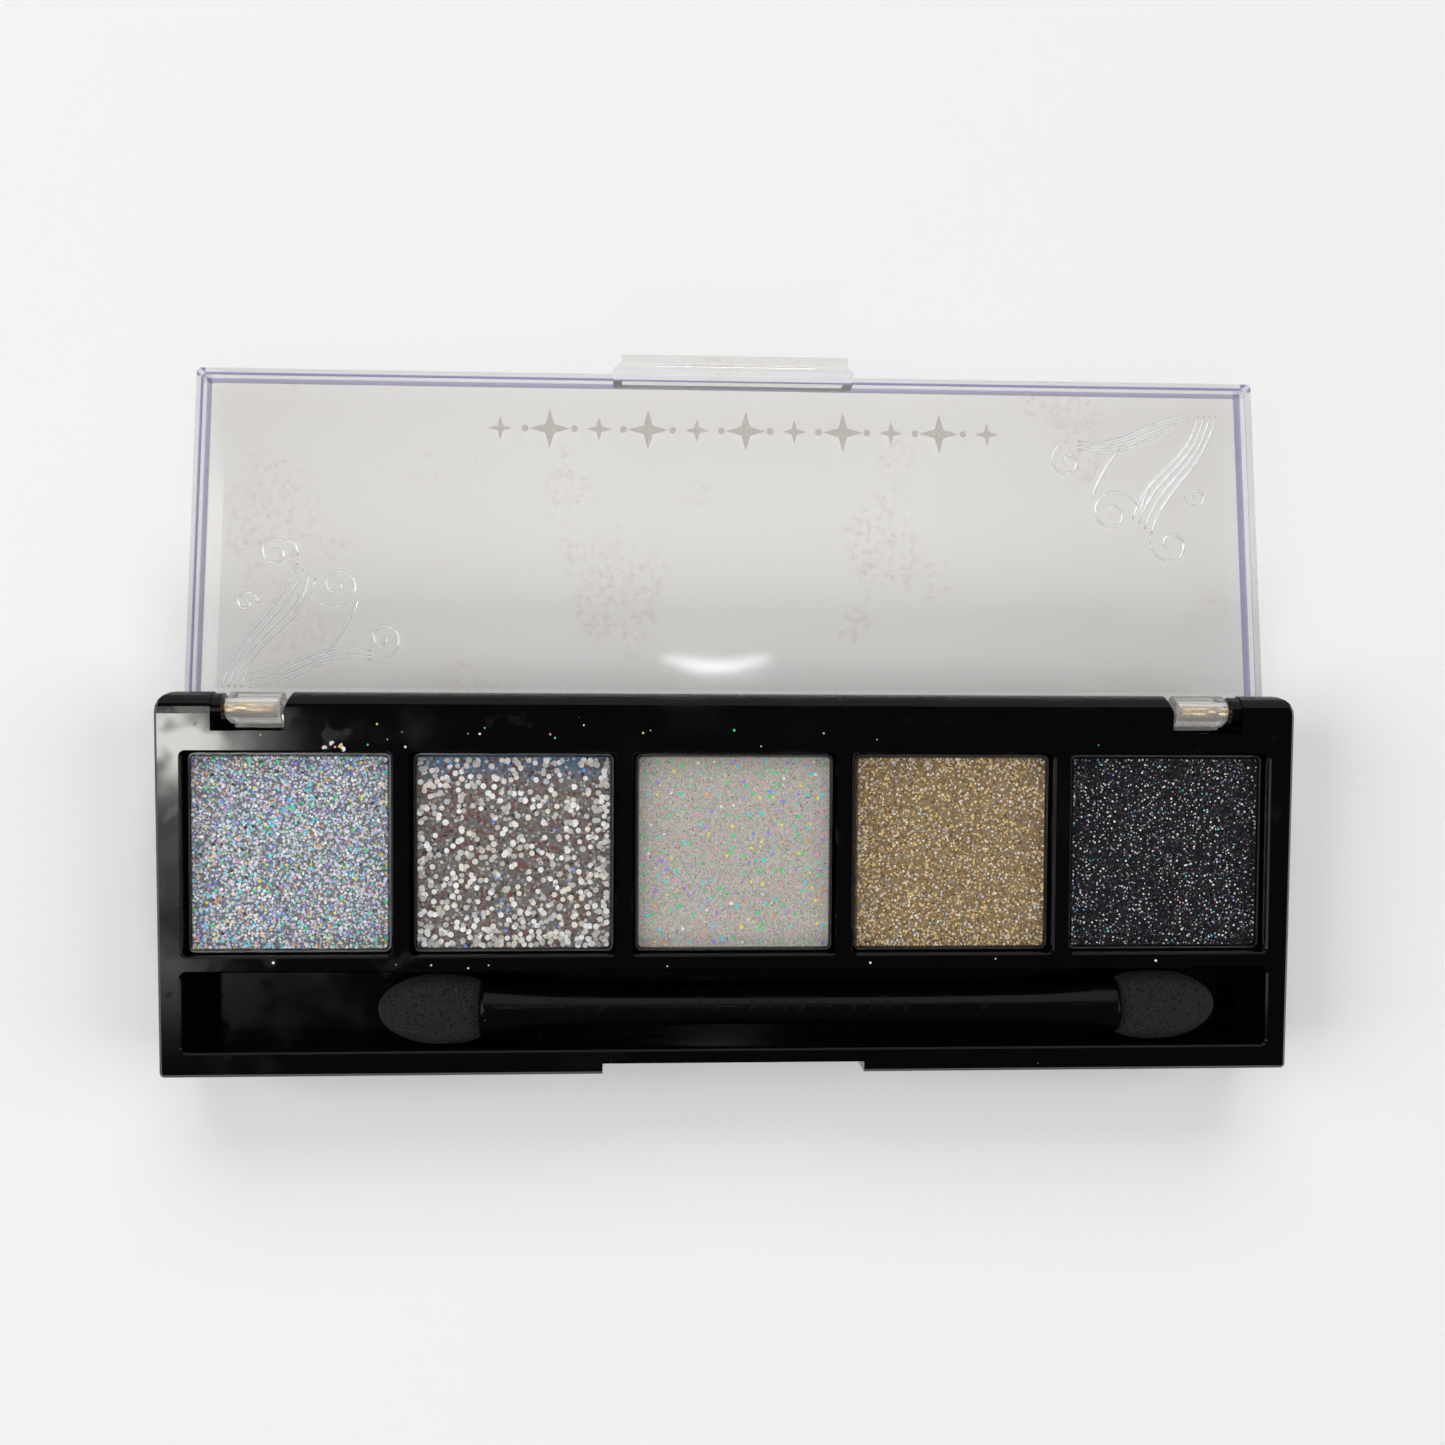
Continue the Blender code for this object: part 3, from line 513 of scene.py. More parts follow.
def charcoal_shadow():
    """Near-black powder with fine dark glitter."""
    colours = (
        (0.024, 0.024, 0.029), (0.046, 0.046, 0.055), (0.015, 0.015, 0.018),
        (0.072, 0.072, 0.086), (0.024, 0.024, 0.028), (0.15, 0.15, 0.175),
    )
    binder = (0.012, 0.012, 0.015)
    return pressed_glitter("charcoal_shadow", 0.2 * MM, binder, colours, 0.5, 0.42).material


def glitter_finish(name, colour):
    """Bright film of one loose glitter colour, each plate slightly uneven."""
    finish = Finish(name)
    uneven = finish.noise(0.4 * MM, detail=1.0)
    finish.shade(
        Base_Color=finish.blend(uneven, tuple(0.82 * part for part in colour), colour),
        Metallic=0.12,
        Roughness=finish.level(uneven, 0.3, 0.7, 0.2, 0.36),
        Normal=finish.bump(uneven, 0.01 * MM),
    )
    return finish.material


GLITTER_COLOURS = {
    "white": (0.97, 0.97, 0.96),
    "cream": (0.9, 0.83, 0.73),
    "pale": (0.64, 0.615, 0.56),
    "silver": (0.6, 0.61, 0.63),
    "grey": (0.33, 0.33, 0.35),
    "dark": (0.07, 0.065, 0.065),
    "rose": (0.22, 0.095, 0.08),
    "sky": (0.66, 0.78, 0.98),
    "lilac": (0.78, 0.7, 0.97),
    "blush": (0.97, 0.76, 0.76),
    "cyan": (0.1, 0.87, 0.9),
    "blue": (0.25, 0.42, 1.0),
    "green": (0.1, 0.88, 0.28),
    "yellow": (1.0, 0.87, 0.16),
    "orange": (1.0, 0.42, 0.14),
    "pink": (1.0, 0.38, 0.62),
    "violet": (0.46, 0.3, 1.0),
    "gold": (0.88, 0.62, 0.28),
    "bronze": (0.32, 0.2, 0.09),
}
GLITTER = {key: glitter_finish(f"glitter_{key}", colour) for key, colour in GLITTER_COLOURS.items()}


# ---------------------------------------------------------------- mesh helpers

def piece(name, vertices, faces, body, materials, picks=None, smooth=False):
    """A new mesh object that rides on a body, with the finishes it is given."""
    mesh = bpy.data.meshes.new(name)
    mesh.from_pydata(vertices, [], faces)
    for material in materials:
        mesh.materials.append(material)
    if picks is not None:
        mesh.polygons.foreach_set("material_index", picks)
    if smooth:
        mesh.shade_smooth()
    mesh.update()
    made = bpy.data.objects.new(name, mesh)
    bpy.context.scene.collection.objects.link(made)
    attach(made, body)
    return made


def plates(rng, middles, radii, tilt):
    """Vertices and faces of thin many-sided plates, each turned and tilted at random."""
    count = len(middles)
    sides = FLAKE_SIDES
    spin = rng.uniform(0.0, math.tau, count)
    lean = np.abs(rng.normal(0.0, tilt, count))
    toward = rng.uniform(0.0, math.tau, count)
    corner = spin[:, None] + np.linspace(0.0, math.tau, sides, endpoint=False)[None, :]
    flat = np.stack([np.cos(corner), np.sin(corner)], axis=2) * radii[:, None, None]
    direction = np.stack([np.cos(toward), np.sin(toward)], axis=1)
    uphill = np.einsum("nks,ns->nk", flat, direction)
    shrink = (np.cos(lean) - 1.0)[:, None, None] * uphill[:, :, None] * direction[:, None, :]
    ring = np.empty((count, sides, 3))
    ring[:, :, :2] = flat + shrink + middles[:, None, :2]
    ring[:, :, 2] = uphill * np.sin(lean)[:, None] + middles[:, None, 2]
    under = ring.copy()
    under[:, :, 2] -= FLAKE_THICKNESS
    vertices = np.concatenate([ring, under], axis=1).reshape(-1, 3)
    pattern = [tuple(range(sides)), tuple(range(2 * sides - 1, sides - 1, -1))]
    for side in range(sides):
        after = (side + 1) % sides
        pattern.append((side, side + sides, after + sides, after))
    faces = [
        tuple(first + corner_index for corner_index in face)
        for first in range(0, count * 2 * sides, 2 * sides)
        for face in pattern
    ]
    return vertices.tolist(), faces, len(pattern)


def glitter_field(name, rng, middles, radii, shares, tilt, body):
    """A field of loose glitter plates in several colours; shares gives each colour's part."""
    vertices, faces, per_plate = plates(rng, middles, radii, tilt)
    names = list(shares)
    weights = np.array([shares[key] for key in names], float)
    picks = rng.choice(len(names), len(middles), p=weights / weights.sum())
    materials = [GLITTER[key] for key in names]
    return piece(name, vertices, faces, body, materials, np.repeat(picks, per_plate))


def packed_spots(rng, low, high, spacing, keep, level, lift, clump=0.0):
    """Random spots at about that spacing on a square top, a share of them kept, more so in clumps."""
    columns = int((high.x - low.x) / spacing)
    rows = int((high.y - low.y) / spacing)
    column, row = np.meshgrid(np.arange(columns), np.arange(rows))
    wander = 0.6
    jitter = rng.uniform(-wander, wander, (2, rows, columns))
    across = low.x + (column + 0.5 + jitter[0]) * (high.x - low.x) / columns
    along = low.y + (row + 0.5 + jitter[1]) * (high.y - low.y) / rows
    spots = np.stack([across.ravel(), along.ravel()], axis=1)
    crowding = np.array([noise.noise(Vector((x, y, level)) / CLUMP_SIZE) for x, y in spots])
    spots = spots[rng.random(len(spots)) < keep * (1.0 + clump * crowding)]
    inset = 0.5 * spacing + 0.1 * MM
    spots[:, 0] = spots[:, 0].clip(low.x + inset, high.x - inset)
    spots[:, 1] = spots[:, 1].clip(low.y + inset, high.y - inset)
    heights = level + rng.uniform(0.0, lift, len(spots))
    return np.column_stack([spots, heights])


def edge_crowd(rng, count, low, high, depth, level, sides):
    """Extra spots crowded along the named sides of a square top."""
    spots = np.empty((count, 3))
    margin = 0.4 * MM
    share = rng.random(count)
    inset = np.abs(rng.normal(0.0, depth, count)) + 0.35 * MM
    chosen = rng.integers(0, len(sides), count)
    for index, side in enumerate(sides):
        here = chosen == index
        run_x = low.x + margin + share[here] * (high.x - low.x - 2 * margin)
        run_y = low.y + margin + share[here] * (high.y - low.y - 2 * margin)
        spots[here, 0] = {"left": low.x + inset[here], "right": high.x - inset[here]}.get(side, run_x)
        spots[here, 1] = {"front": low.y + inset[here], "rear": high.y - inset[here]}.get(side, run_y)
    spots[:, 2] = level + rng.uniform(0.0, 0.06 * MM, count)
    return spots


# ---------------------------------------------------------------- glitter in the pans

def silver_glitter(rng):
    """Dense holographic flakes in the first pan."""
    low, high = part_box("shadow_1")
    spots = packed_spots(rng, low, high, 0.34 * MM, 0.85, high.z, 0.06 * MM, clump=0.3)
    radii = rng.uniform(0.11, 0.21, len(spots)) * MM
    shares = {
        "white": 44, "sky": 26, "lilac": 9, "blush": 8, "silver": 20, "grey": 6, "dark": 4,
        "cyan": 9, "blue": 8, "green": 5, "yellow": 4, "orange": 4, "pink": 4, "violet": 4,
    }
    glitter_field("glitter_silver", rng, spots, radii, shares, 0.3, "base")


def flake_glitter(rng):
    """Large bright hexagons and small rosy dots in the second pan."""
    low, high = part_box("shadow_2")
    small = packed_spots(rng, low, high, 0.46 * MM, 0.8, high.z - 0.01 * MM, 0.05 * MM, clump=0.5)
    radii = rng.uniform(0.16, 0.24, len(small)) * MM
    shares = {"rose": 52, "silver": 8, "grey": 18, "dark": 9, "pale": 11, "blue": 2}
    glitter_field("glitter_small_rosy", rng, small, radii, shares, 0.2, "base")
    on_top = high.z + 0.05 * MM
    large = packed_spots(rng, low, high, 0.8 * MM, 0.66, on_top, 0.12 * MM, clump=1.4)
    crowd = edge_crowd(rng, 130, low, high, 1.2 * MM, on_top, ("front", "front", "right", "left"))
    spots = np.concatenate([large, crowd])
    radii = rng.uniform(0.29, 0.38, len(spots)) * MM
    shares = {"white": 42, "cream": 14, "pale": 36, "silver": 8}
    glitter_field("glitter_large_hexagons", rng, spots, radii, shares, 0.2, "base")


def pearl_glitter(rng):
    """Sparse coloured glints and tiny rosy specks on the pearl."""
    low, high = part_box("shadow_3")
    spots = packed_spots(rng, low, high, 1.05 * MM, 0.8, high.z, 0.03 * MM)
    radii = rng.uniform(0.12, 0.25, len(spots)) * MM
    shares = {"cyan": 22, "green": 26, "yellow": 10, "violet": 16, "orange": 9, "pink": 11, "white": 6}
    glitter_field("glitter_pearl_glints", rng, spots, radii, shares, 0.14, "base")
    specks = packed_spots(rng, low, high, 0.75 * MM, 0.5, high.z, 0.02 * MM)
    radii = rng.uniform(0.06, 0.1, len(specks)) * MM
    shares = {"rose": 20, "pink": 50, "green": 30}
    glitter_field("glitter_pearl_specks", rng, specks, radii, shares, 0.1, "base")


def champagne_glitter(rng):
    """Dense gold glitter, thickest along the left and front edges."""
    low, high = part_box("shadow_4")
    even = packed_spots(rng, low, high, 0.33 * MM, 0.74, high.z, 0.05 * MM, clump=0.4)
    crowd = edge_crowd(rng, 520, low, high, 0.6 * MM, high.z, ("left", "front", "rear"))
    spots = np.concatenate([even, crowd])
    radii = rng.uniform(0.08, 0.18, len(spots)) * MM
    shares = {"gold": 46, "bronze": 26, "cream": 23, "silver": 6}
    glitter_field("glitter_champagne", rng, spots, radii, shares, 0.34, "base")


def charcoal_glitter(rng):
    """Small silver sparks on the charcoal."""
    low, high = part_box("shadow_5")
    spots = packed_spots(rng, low, high, 0.38 * MM, 0.66, high.z, 0.05 * MM, clump=0.7)
    radii = rng.uniform(0.06, 0.13, len(spots)) * MM
    shares = {"white": 24, "silver": 20, "grey": 22, "dark": 28, "pink": 2, "cyan": 2, "blue": 2}
    glitter_field("glitter_charcoal", rng, spots, radii, shares, 0.35, "base")


def stray_glitter(rng):
    """A few flakes spilled on the deck, most of them behind the first two pans."""
    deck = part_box("base_shell")[1].z
    low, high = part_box("shadow_1")
    rear_pans = high.y + 0.7 * MM
    front_pans = low.y - 0.9 * MM
    rear_edge = 17.5 * MM
    front_edge = -9.2 * MM
    behind = np.column_stack([rng.uniform(-56.0, -16.0, 13) * MM, rng.uniform(rear_pans, rear_edge, 13)])
    right = np.column_stack([rng.uniform(-16.0, 58.0, 7) * MM, rng.uniform(rear_pans, rear_edge, 7)])
    before = np.column_stack([rng.uniform(-50.0, 56.0, 9) * MM, rng.uniform(front_edge, front_pans, 9)])
    large = np.column_stack([rng.normal(-43.6, 0.9, 4) * MM, rear_pans + rng.uniform(0.0, 0.9, 4) * MM])
    spots = np.concatenate([behind, right, before, large])
    spots = np.column_stack([spots, np.full(len(spots), deck + FLAKE_THICKNESS)])
    small_radii = rng.uniform(0.06, 0.16, len(spots) - len(large))
    radii = np.concatenate([small_radii, np.full(len(large), 0.3)]) * MM
    shares = {"white": 40, "cream": 20, "cyan": 6, "pink": 8, "gold": 20, "green": 6}
    glitter_field("glitter_stray", rng, spots, radii, shares, 0.2, "base")


# ---------------------------------------------------------------- lid mouldings and print

def on_open_lid(points):
    """Moves points from the shut lid's frame at the hinge axis to where the open lid lies."""
    turn = Matrix.Rotation(-LID_SWING, 4, "X")
    axis = Vector(HINGE["pos_m"])
    return [axis + turn @ Vector(point) for point in points]


def spiral(middle, start_radius, end_radius, start, turns, steps=40):
    """Points of a flat spiral, angles in turns."""
    points = []
    for step in range(steps + 1):
        share = step / steps
        radius = start_radius + (end_radius - start_radius) * share ** 0.8
        angle = math.tau * (start + turns * share)
        points.append((middle[0] + radius * math.cos(angle), middle[1] + radius * math.sin(angle)))
    return points


def swept(start, control_a, control_b, end, steps=28):
    """Points of a flat cubic curve."""
    points = []
    for step in range(steps + 1):
        share = step / steps
        rest = 1.0 - share
        weights = (rest ** 3, 3 * rest ** 2 * share, 3 * rest * share ** 2, share ** 3)
        ends = (start, control_a, control_b, end)
        points.append(tuple(sum(w * p[axis] for w, p in zip(weights, ends)) for axis in (0, 1)))
    return points


def ridge(points, width, height, face):
    """Vertices and faces of a low rounded ridge along flat points, tapering to both ends."""
    vertices, faces = [], []
    last = len(points) - 1
    section = 6
    for index, (x, y) in enumerate(points):
        before = points[max(index - 1, 0)]
        after = points[min(index + 1, last)]
        run = Vector((after[0] - before[0], after[1] - before[1])).normalized()
        side = Vector((-run.y, run.x))
        size = max(0.12, math.sin(math.pi * (0.06 + 0.88 * index / last)) ** 0.5)
        for step in range(section):
            angle = math.tau * step / section
            offset = side * (0.5 * width * size * math.cos(angle))
            rise = 0.5 * height * size * (1.0 + math.sin(angle))
            vertices.append((x + offset.x, y + offset.y, face + rise))
    for index in range(last):
        for step in range(section):
            after = (step + 1) % section
            first = index * section
            faces.append((first + step, first + after, first + after + section, first + step + section))
    faces.append(tuple(range(section - 1, -1, -1)))
    faces.append(tuple(last * section + step for step in range(section)))
    return vertices, faces


def joined(bodies):
    """One list of vertices and faces from several."""
    vertices, faces = [], []
    for own_vertices, own_faces in bodies:
        first = len(vertices)
        vertices += own_vertices
        faces += [tuple(first + corner for corner in face) for face in own_faces]
    return vertices, faces


def scroll_strokes(corner, across, along):
    """Flat strokes of a plain leaf scroll that grows out of a corner of the lid."""
    handed = across * along
    facing = 0.0 if across > 0 else 0.5

    def at(x, y):
        """A point that many millimetres into the lid from its corner."""
        return (corner[0] + across * x * MM, corner[1] + along * y * MM)

    def curl(x, y, radius, start, turns):
        """A curl that winds in to a small eye."""
        return spiral(at(x, y), radius * MM, 0.12 * radius * MM, facing + handed * start, handed * turns)

    strokes = []
    for shift in (0.0, 0.7, 1.4, 2.1):
        strokes.append(swept(at(0.6 + shift, 1.0), at(2.0 + shift, 7.5), at(6.5 + shift, 9.0 - shift),
                             at(8.6 + shift, 15.0 - 0.8 * shift)))
    for shift in (0.0, 0.8, 1.6):
        strokes.append(swept(at(3.6, 1.0 + shift), at(9.5, 1.4 + shift), at(10.5, 5.0 + shift),
                             at(17.0, 4.2 + 0.6 * shift)))
    strokes.append(curl(6.2, 16.2, 2.5, -0.02, 1.4))
    strokes.append(curl(13.0, 12.6, 3.0, 0.55, 1.5))
    strokes.append(curl(18.2, 6.6, 2.3, -0.25, 1.35))
    strokes.append(curl(3.0, 10.5, 1.5, 0.0, 1.25))
    strokes.append(swept(at(8.6, 9.8), at(10.0, 11.5), at(9.4, 13.6), at(10.1, 14.2)))
    strokes.append(swept(at(12.0, 4.9), at(13.6, 7.0), at(15.0, 9.4), at(15.4, 10.9)))
    return strokes


def build_scrolls(material):
    """Moulded scrolls on the outer face of the lid, at one hinge corner and one front corner."""
    corners = {
        "lid_scroll_hinge_corner": ((-57.6 * MM, -1.6 * MM), 1, -1),
        "lid_scroll_front_corner": ((57.2 * MM, -36.0 * MM), -1, 1),
    }
    for name, (corner, across, along) in corners.items():
        face = LID_OUTER_FACE + 0.005 * MM
        strokes = scroll_strokes(corner, across, along)
        bodies = [ridge(stroke, SCROLL_WIDTH, SCROLL_HEIGHT, face) for stroke in strokes]
        vertices, faces = joined(bodies)
        piece(name, on_open_lid(vertices), faces, "lid", [material], smooth=True)


def prism(outline, low, high):
    """Vertices and faces of an upright prism on a flat outline that runs anticlockwise."""
    count = len(outline)
    vertices = [(x, y, low) for x, y in outline] + [(x, y, high) for x, y in outline]
    faces = [tuple(range(count - 1, -1, -1)), tuple(range(count, 2 * count))]
    for corner in range(count):
        after = (corner + 1) % count
        faces.append((corner, after, after + count, corner + count))
    return vertices, faces


def star(middle, size, points=4, waist=0.32):
    """Outline of a small star."""
    outline = []
    for corner in range(2 * points):
        radius = size if corner % 2 == 0 else waist * size
        angle = math.pi * corner / points + math.pi / 2
        outline.append((middle[0] + radius * math.cos(angle), middle[1] + radius * math.sin(angle)))
    return outline


def build_print(material):
    """Plain printed band of stars and dots where the lid carries its decoration."""
    middle_x, middle_y = PRINT_MIDDLE
    low = LID_OUTER_FACE + 0.004 * MM
    high = LID_OUTER_FACE + 0.03 * MM
    bodies = []
    for index in range(-STAR_PAIRS, STAR_PAIRS + 1):
        size = 2.3 * MM if index % 2 == 0 else 1.4 * MM
        place = (middle_x + index * PRINT_PITCH, middle_y)
        bodies.append(prism(star(place, size), low, high))
        if index < STAR_PAIRS:
            place = (middle_x + (index + 0.5) * PRINT_PITCH, middle_y)
            bodies.append(prism(star(place, 0.42 * MM, points=6, waist=0.9), low, high))
    vertices, faces = joined(bodies)
    piece("lid_printed_band", on_open_lid(vertices), faces, "lid", [material])


# ---------------------------------------------------------------- applicator

def rib_sheet(x, y, z, steps=8):
    """Vertices and faces of a flat strip with rounded ends, lying across the handle."""
    vertices = []
    for step in range(steps + 1):
        share = step / steps
        half = 0.5 * RIB_WIDTH * max(0.25, math.sin(math.pi * (0.04 + 0.92 * share))) ** 0.5
        for side in (-1, 0, 1):
            vertices.append((x + side * half, y + RIB_HALF_LENGTH * (2.0 * share - 1.0), z))
    faces = []
    for step in range(steps):
        for first in (3 * step, 3 * step + 1):
            faces.append((first, first + 1, first + 4, first + 3))
    return vertices, faces


def build_grip_ribs(material):
    """Low grip ribs across the middle of the applicator's handle."""
    low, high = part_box("applicator_handle")
    middle = (low + high) / 2
    for index in range(-RIB_PAIRS, RIB_PAIRS + 1):
        name = f"grip_rib_{index + RIB_PAIRS + 1}"
        vertices, faces = rib_sheet(middle.x + index * RIB_PITCH, middle.y, high.z + MM)
        rib = piece(name, vertices, faces, "applicator", [material], smooth=True)
        onto = rib.modifiers.new("onto_handle", "SHRINKWRAP")
        onto.wrap_method = "PROJECT"
        onto.use_project_z = True
        onto.use_negative_direction = True
        onto.use_positive_direction = False
        onto.target = frame["nodes"]["applicator_handle"]
        onto.offset = 0.02 * MM
        solid = rib.modifiers.new("height", "SOLIDIFY")
        solid.thickness = RIB_HEIGHT
        solid.offset = 1.0
        round_off = rib.modifiers.new("round", "BEVEL")
        round_off.width = 0.04 * MM
        round_off.segments = 2
        applied(rib)


def applied(made):
    """Applies an object's modifiers to its mesh."""
    graph = bpy.context.evaluated_depsgraph_get()
    graph.update()
    mesh = bpy.data.meshes.new_from_object(made.evaluated_get(graph))
    mesh.name = made.data.name
    made.modifiers.clear()
    made.data = mesh


def build_foam_tip(side, material):
    """Foam tip with its open-cell skin: remeshed from the solid, then pitted."""
    node_name = f"sponge_tip_{side}"
    source = frame["nodes"][node_name]
    work = bmesh.new()
    work.from_mesh(source.data)
    bmesh.ops.remove_doubles(work, verts=work.verts, dist=0.002 * MM)
    mesh = bpy.data.meshes.new(f"foam_tip_{side}")
    work.to_mesh(mesh)
    work.free()
    tip = bpy.data.objects.new(f"foam_tip_{side}", mesh)
    bpy.context.scene.collection.objects.link(tip)
    remesh = tip.modifiers.new("skin", "REMESH")
    remesh.mode = "VOXEL"
    remesh.voxel_size = FOAM_MESH
    smooth = tip.modifiers.new("soften", "SMOOTH")
    smooth.iterations = 3
    applied(tip)
    pit_foam(tip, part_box(node_name))
    tip.data.materials.clear()
    tip.data.materials.append(material)
    tip.data.shade_smooth()
    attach(tip, "applicator")
    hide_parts(node_name)


def pit_foam(tip, box):
    """Sinks pores and soft hollows into the foam's skin, never out of the solid's box."""
    low, high = box
    tip.data.update()
    moves = []
    for vertex in tip.data.vertices:
        place = vertex.co / MM
        hollow = 0.5 + 0.5 * noise.noise(place * 0.55)
        pore = max(0.0, noise.noise(place * 3.1) - 0.18) + 0.7 * max(0.0, noise.noise(place * 6.3) - 0.1)
        moves.append(vertex.normal * -(HOLLOW_DEPTH * hollow + PORE_DEPTH * pore))
    for vertex, move in zip(tip.data.vertices, moves):
        moved = vertex.co + move
        for axis in range(3):
            moved[axis] = min(max(moved[axis], low[axis]), high[axis])
        vertex.co = moved
    tip.data.update()


# ---------------------------------------------------------------- studio

def build_floor():
    """Wide pale floor, just under the palette."""
    finish = Finish("pale_floor")
    mottle = finish.noise(60 * MM, detail=3.0)
    finish.shade(
        Base_Color=finish.blend(mottle, (0.885, 0.882, 0.878), (0.9, 0.898, 0.893)),
        Roughness=0.75,
        Specular_IOR_Level=0.2,
        Normal=finish.bump(finish.noise(0.8 * MM, detail=3.0), 0.01 * MM),
    )
    half = 750 * MM
    level = -0.05 * MM
    corners = [(-half, -half, level), (half, -half, level), (half, half, level), (-half, half, level)]
    mesh = bpy.data.meshes.new("floor")
    mesh.from_pydata(corners, [], [(0, 1, 2, 3)])
    mesh.materials.append(finish.material)
    floor = bpy.data.objects.new("floor", mesh)
    bpy.context.scene.collection.objects.link(floor)


def softbox(name, place, size, radiance, aimed=True, for_gloss_only=False, colour=(1.0, 1.0, 1.0)):
    """A rectangular lamp aimed at the palette, or else straight down; places and sizes in millimetres."""
    lamp = bpy.data.lights.new(name, "AREA")
    lamp.shape = "RECTANGLE"
    lamp.size, lamp.size_y = size[0] * MM, size[1] * MM
    lamp.energy = radiance * math.pi * lamp.size * lamp.size_y
    lamp.color = colour
    made = bpy.data.objects.new(name, lamp)
    made.location = Vector(place) * MM
    if aimed:
        aim = Vector((0.0, 15.0, 0.0)) * MM - made.location
        made.rotation_mode = "QUATERNION"
        made.rotation_quaternion = aim.to_track_quat("-Z", "Y")
    made.visible_diffuse = not for_gloss_only
    bpy.context.scene.collection.objects.link(made)
    return made


def build_soft_light():
    """Soft lamps on four sides for the matte pieces, and dim sheens for what the gloss mirrors."""
    lamps = {
        "lamp_left": ((-760, 60, 560), (620, 620), 4.3),
        "lamp_right": ((760, 40, 560), (620, 620), 2.9),
        "lamp_rear": ((0, 820, 600), (760, 480), 4.1),
        "lamp_front": ((40, -640, 560), (420, 300), 6.2),
    }
    for name, (place, size, radiance) in lamps.items():
        softbox(name, place, size, radiance).visible_glossy = False
    sheens = {
        "rear_sheen": ((0, 866, 500), (1500, 1250), 0.33),
        "left_sheen": ((-800, 60, 560), (620, 620), 0.8),
        "right_sheen": ((800, 40, 560), (620, 620), 0.6),
    }
    for name, (place, size, radiance) in sheens.items():
        softbox(name, place, size, radiance, for_gloss_only=True)


def build_reflections():
    """A window mirrored in the deck's left border with its fading edges, and a curved glint on the lid."""
    gloss = {"aimed": False, "for_gloss_only": True}
    daylight = (0.97, 1.0, 0.92)
    window_height = 500
    softbox("window", (-218, -9, window_height), (46, 32), 17.0, colour=daylight, **gloss)
    for step in range(4):
        place = (-191 + 8 * step, -10, window_height)
        softbox(f"window_right_{step + 1}", place, (8, 12), 7.0 * 0.55 ** step, **gloss)
    for step in range(11):
        place = (-222, -30.5 - 11 * step, window_height)
        radiance = 2.2 * 0.2 ** step + 2.0 * math.sin(math.pi * (step + 1) / 12) ** 2
        softbox(f"window_left_{step + 1}", place, (40, 11), radiance, **gloss)
    for step in range(-4, 5):
        place = (28 + 6.2 * step, 151 + 0.3 * step * step, 600)
        softbox(f"lid_glint_{step + 5}", place, (6.2, 3.0), 26.0 * (1.0 - (step / 5) ** 2), **gloss)


def build_world():
    """Pale surroundings to the eye, and a dim room to what the gloss mirrors."""
    world = bpy.data.worlds.new("studio")
    world.use_nodes = True
    tree = world.node_tree
    output = tree.nodes["World Output"]
    seen = tree.nodes["Background"]
    seen.inputs["Color"].default_value = (0.86, 0.86, 0.86, 1.0)
    lighting = tree.nodes.new("ShaderNodeBackground")
    lighting.inputs["Color"].default_value = (0.03, 0.03, 0.033, 1.0)
    path = tree.nodes.new("ShaderNodeLightPath")
    bounces = tree.nodes.new("ShaderNodeMath")
    tree.links.new(path.outputs["Diffuse Depth"], bounces.inputs[0])
    tree.links.new(path.outputs["Glossy Depth"], bounces.inputs[1])
    bounced = tree.nodes.new("ShaderNodeMath")
    bounced.operation = "GREATER_THAN"
    bounced.inputs[1].default_value = 0.5
    tree.links.new(bounces.outputs[0], bounced.inputs[0])
    choice = tree.nodes.new("ShaderNodeMixShader")
    tree.links.new(bounced.outputs[0], choice.inputs["Fac"])
    tree.links.new(seen.outputs[0], choice.inputs[1])
    tree.links.new(lighting.outputs[0], choice.inputs[2])
    tree.links.new(choice.outputs[0], output.inputs["Surface"])
    bpy.context.scene.world = world


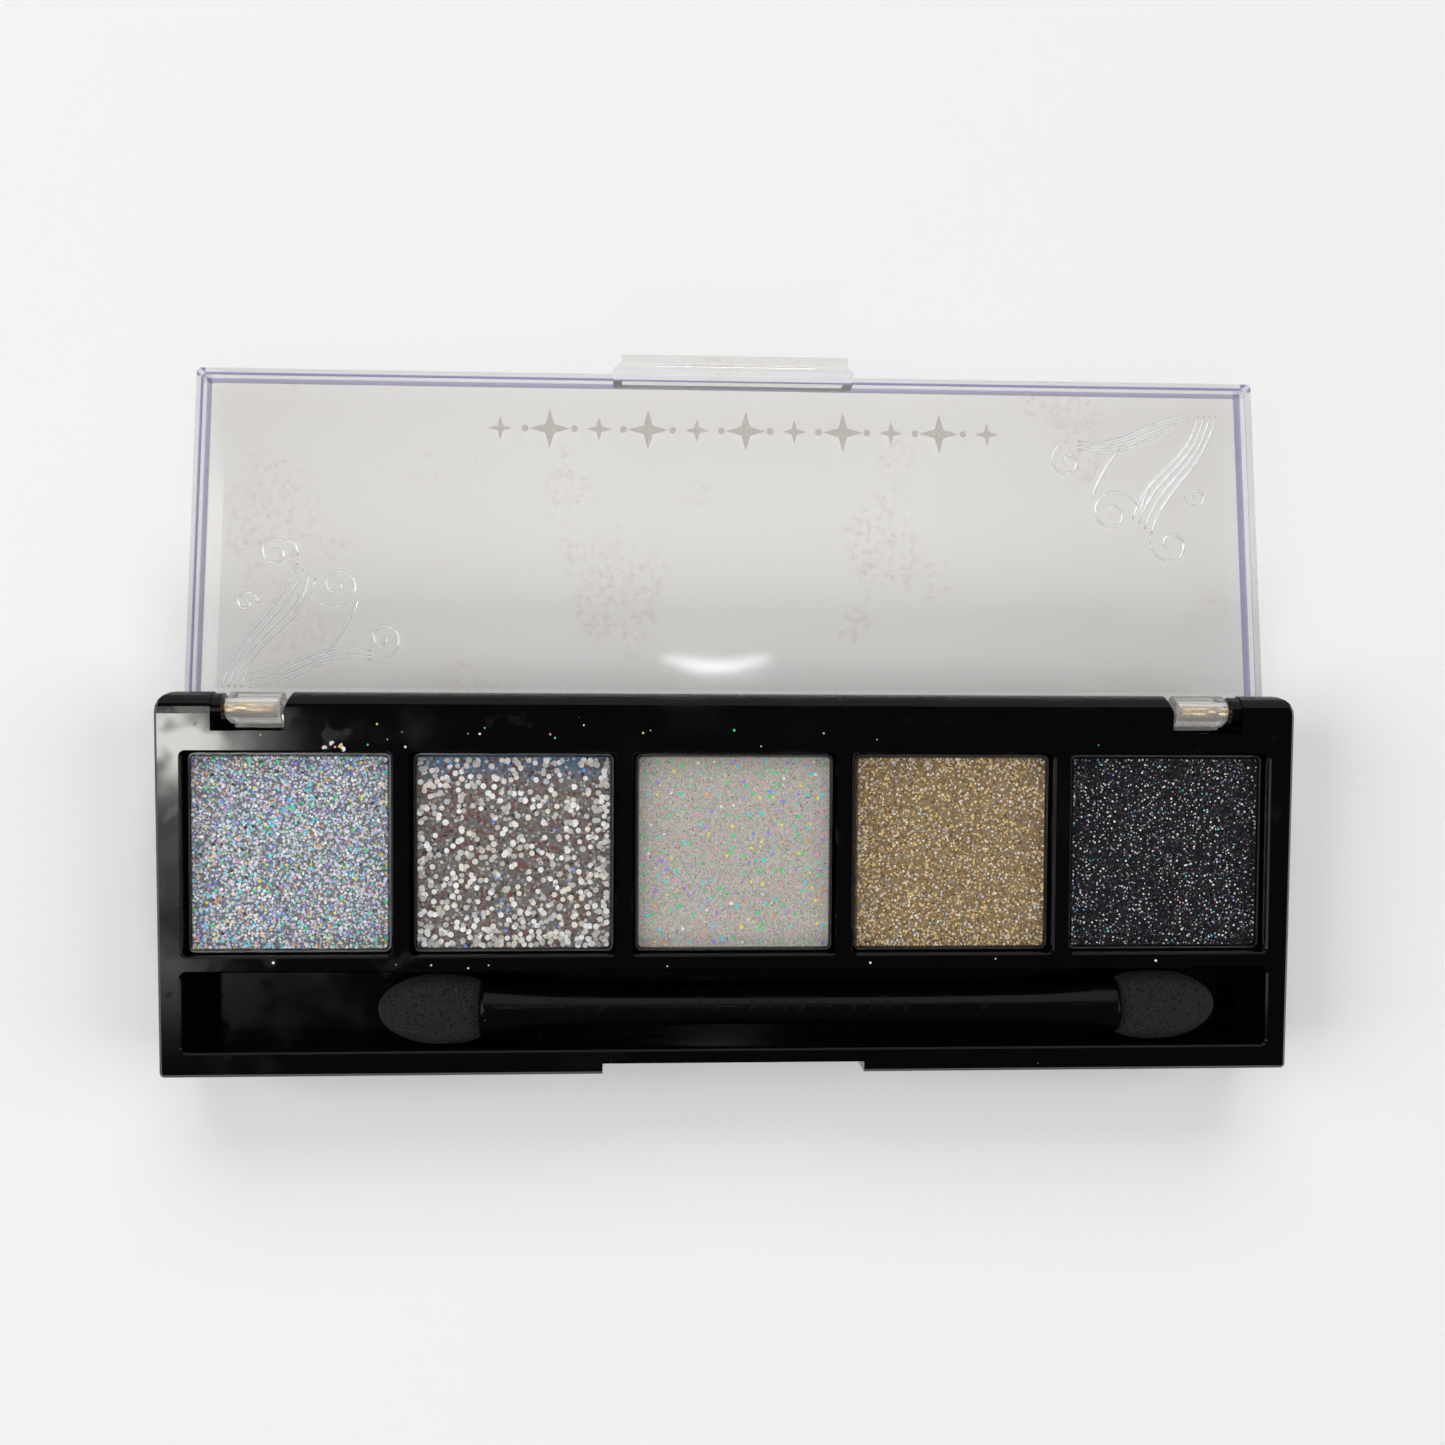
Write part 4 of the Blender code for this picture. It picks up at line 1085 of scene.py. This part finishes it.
def build_camera():
    """The camera, close above the palette and leaning a little to its left."""
    lens = bpy.data.cameras.new("camera")
    lens.lens = LENS
    lens.clip_start = MM
    made = bpy.data.objects.new("camera", lens)
    made.location = CAMERA_PLACE
    made.rotation_euler = [math.radians(angle) for angle in CAMERA_TURN_DEG]
    bpy.context.scene.collection.objects.link(made)
    bpy.context.scene.camera = made


# ---------------------------------------------------------------- scene

def round_shading(names):
    """Smooth shading over the small flats of turned and rounded pieces."""
    for name in names:
        node = frame["nodes"][name]
        weld = node.modifiers.new("weld", "WELD")
        weld.merge_threshold = 0.001 * MM
        node.modifiers.new("round_shading", "WEIGHTED_NORMAL")


def finish_cad_nodes(finishes):
    """Gives every CAD node the finish of its material slot."""
    for node in frame["nodes"].values():
        slots = node.data.materials
        for index, material in enumerate(slots):
            slots[index] = finishes[material.name]


def build_scene():
    """Everything in the scene."""
    handle = glossy_black("handle_black", smudge=0.36, shine=0.2)
    foam_finish = foam()
    finish_cad_nodes({
        "base_plastic": glossy_black("case_black"),
        "label_paper": label_paper(),
        "tinplate": tinplate(),
        "glue": hot_glue(),
        "shadow_silver": silver_shadow(),
        "shadow_flake": flake_shadow(),
        "shadow_pearl": pearl_shadow(),
        "shadow_champagne": champagne_shadow(),
        "shadow_charcoal": charcoal_shadow(),
        "lid_plastic": clear_lid(),
        "pin_brass": brass(),
        "handle_plastic": handle,
        "stem_plastic": stem_plastic(),
        "foam": foam_finish,
    })
    rng = np.random.default_rng(7)
    silver_glitter(rng)
    flake_glitter(rng)
    pearl_glitter(rng)
    champagne_glitter(rng)
    charcoal_glitter(rng)
    stray_glitter(rng)
    round_shading(("applicator_handle", "hinge_pin_left", "hinge_pin_right"))
    build_scrolls(lid_relief())
    build_print(lid_print())
    build_grip_ribs(handle)
    for side in ("left", "right"):
        build_foam_tip(side, foam_finish)
    build_floor()
    build_soft_light()
    build_reflections()
    build_world()
    build_camera()
    bpy.context.scene.view_settings.view_transform = "Standard"


build_scene()
bpy.context.view_layer.update()
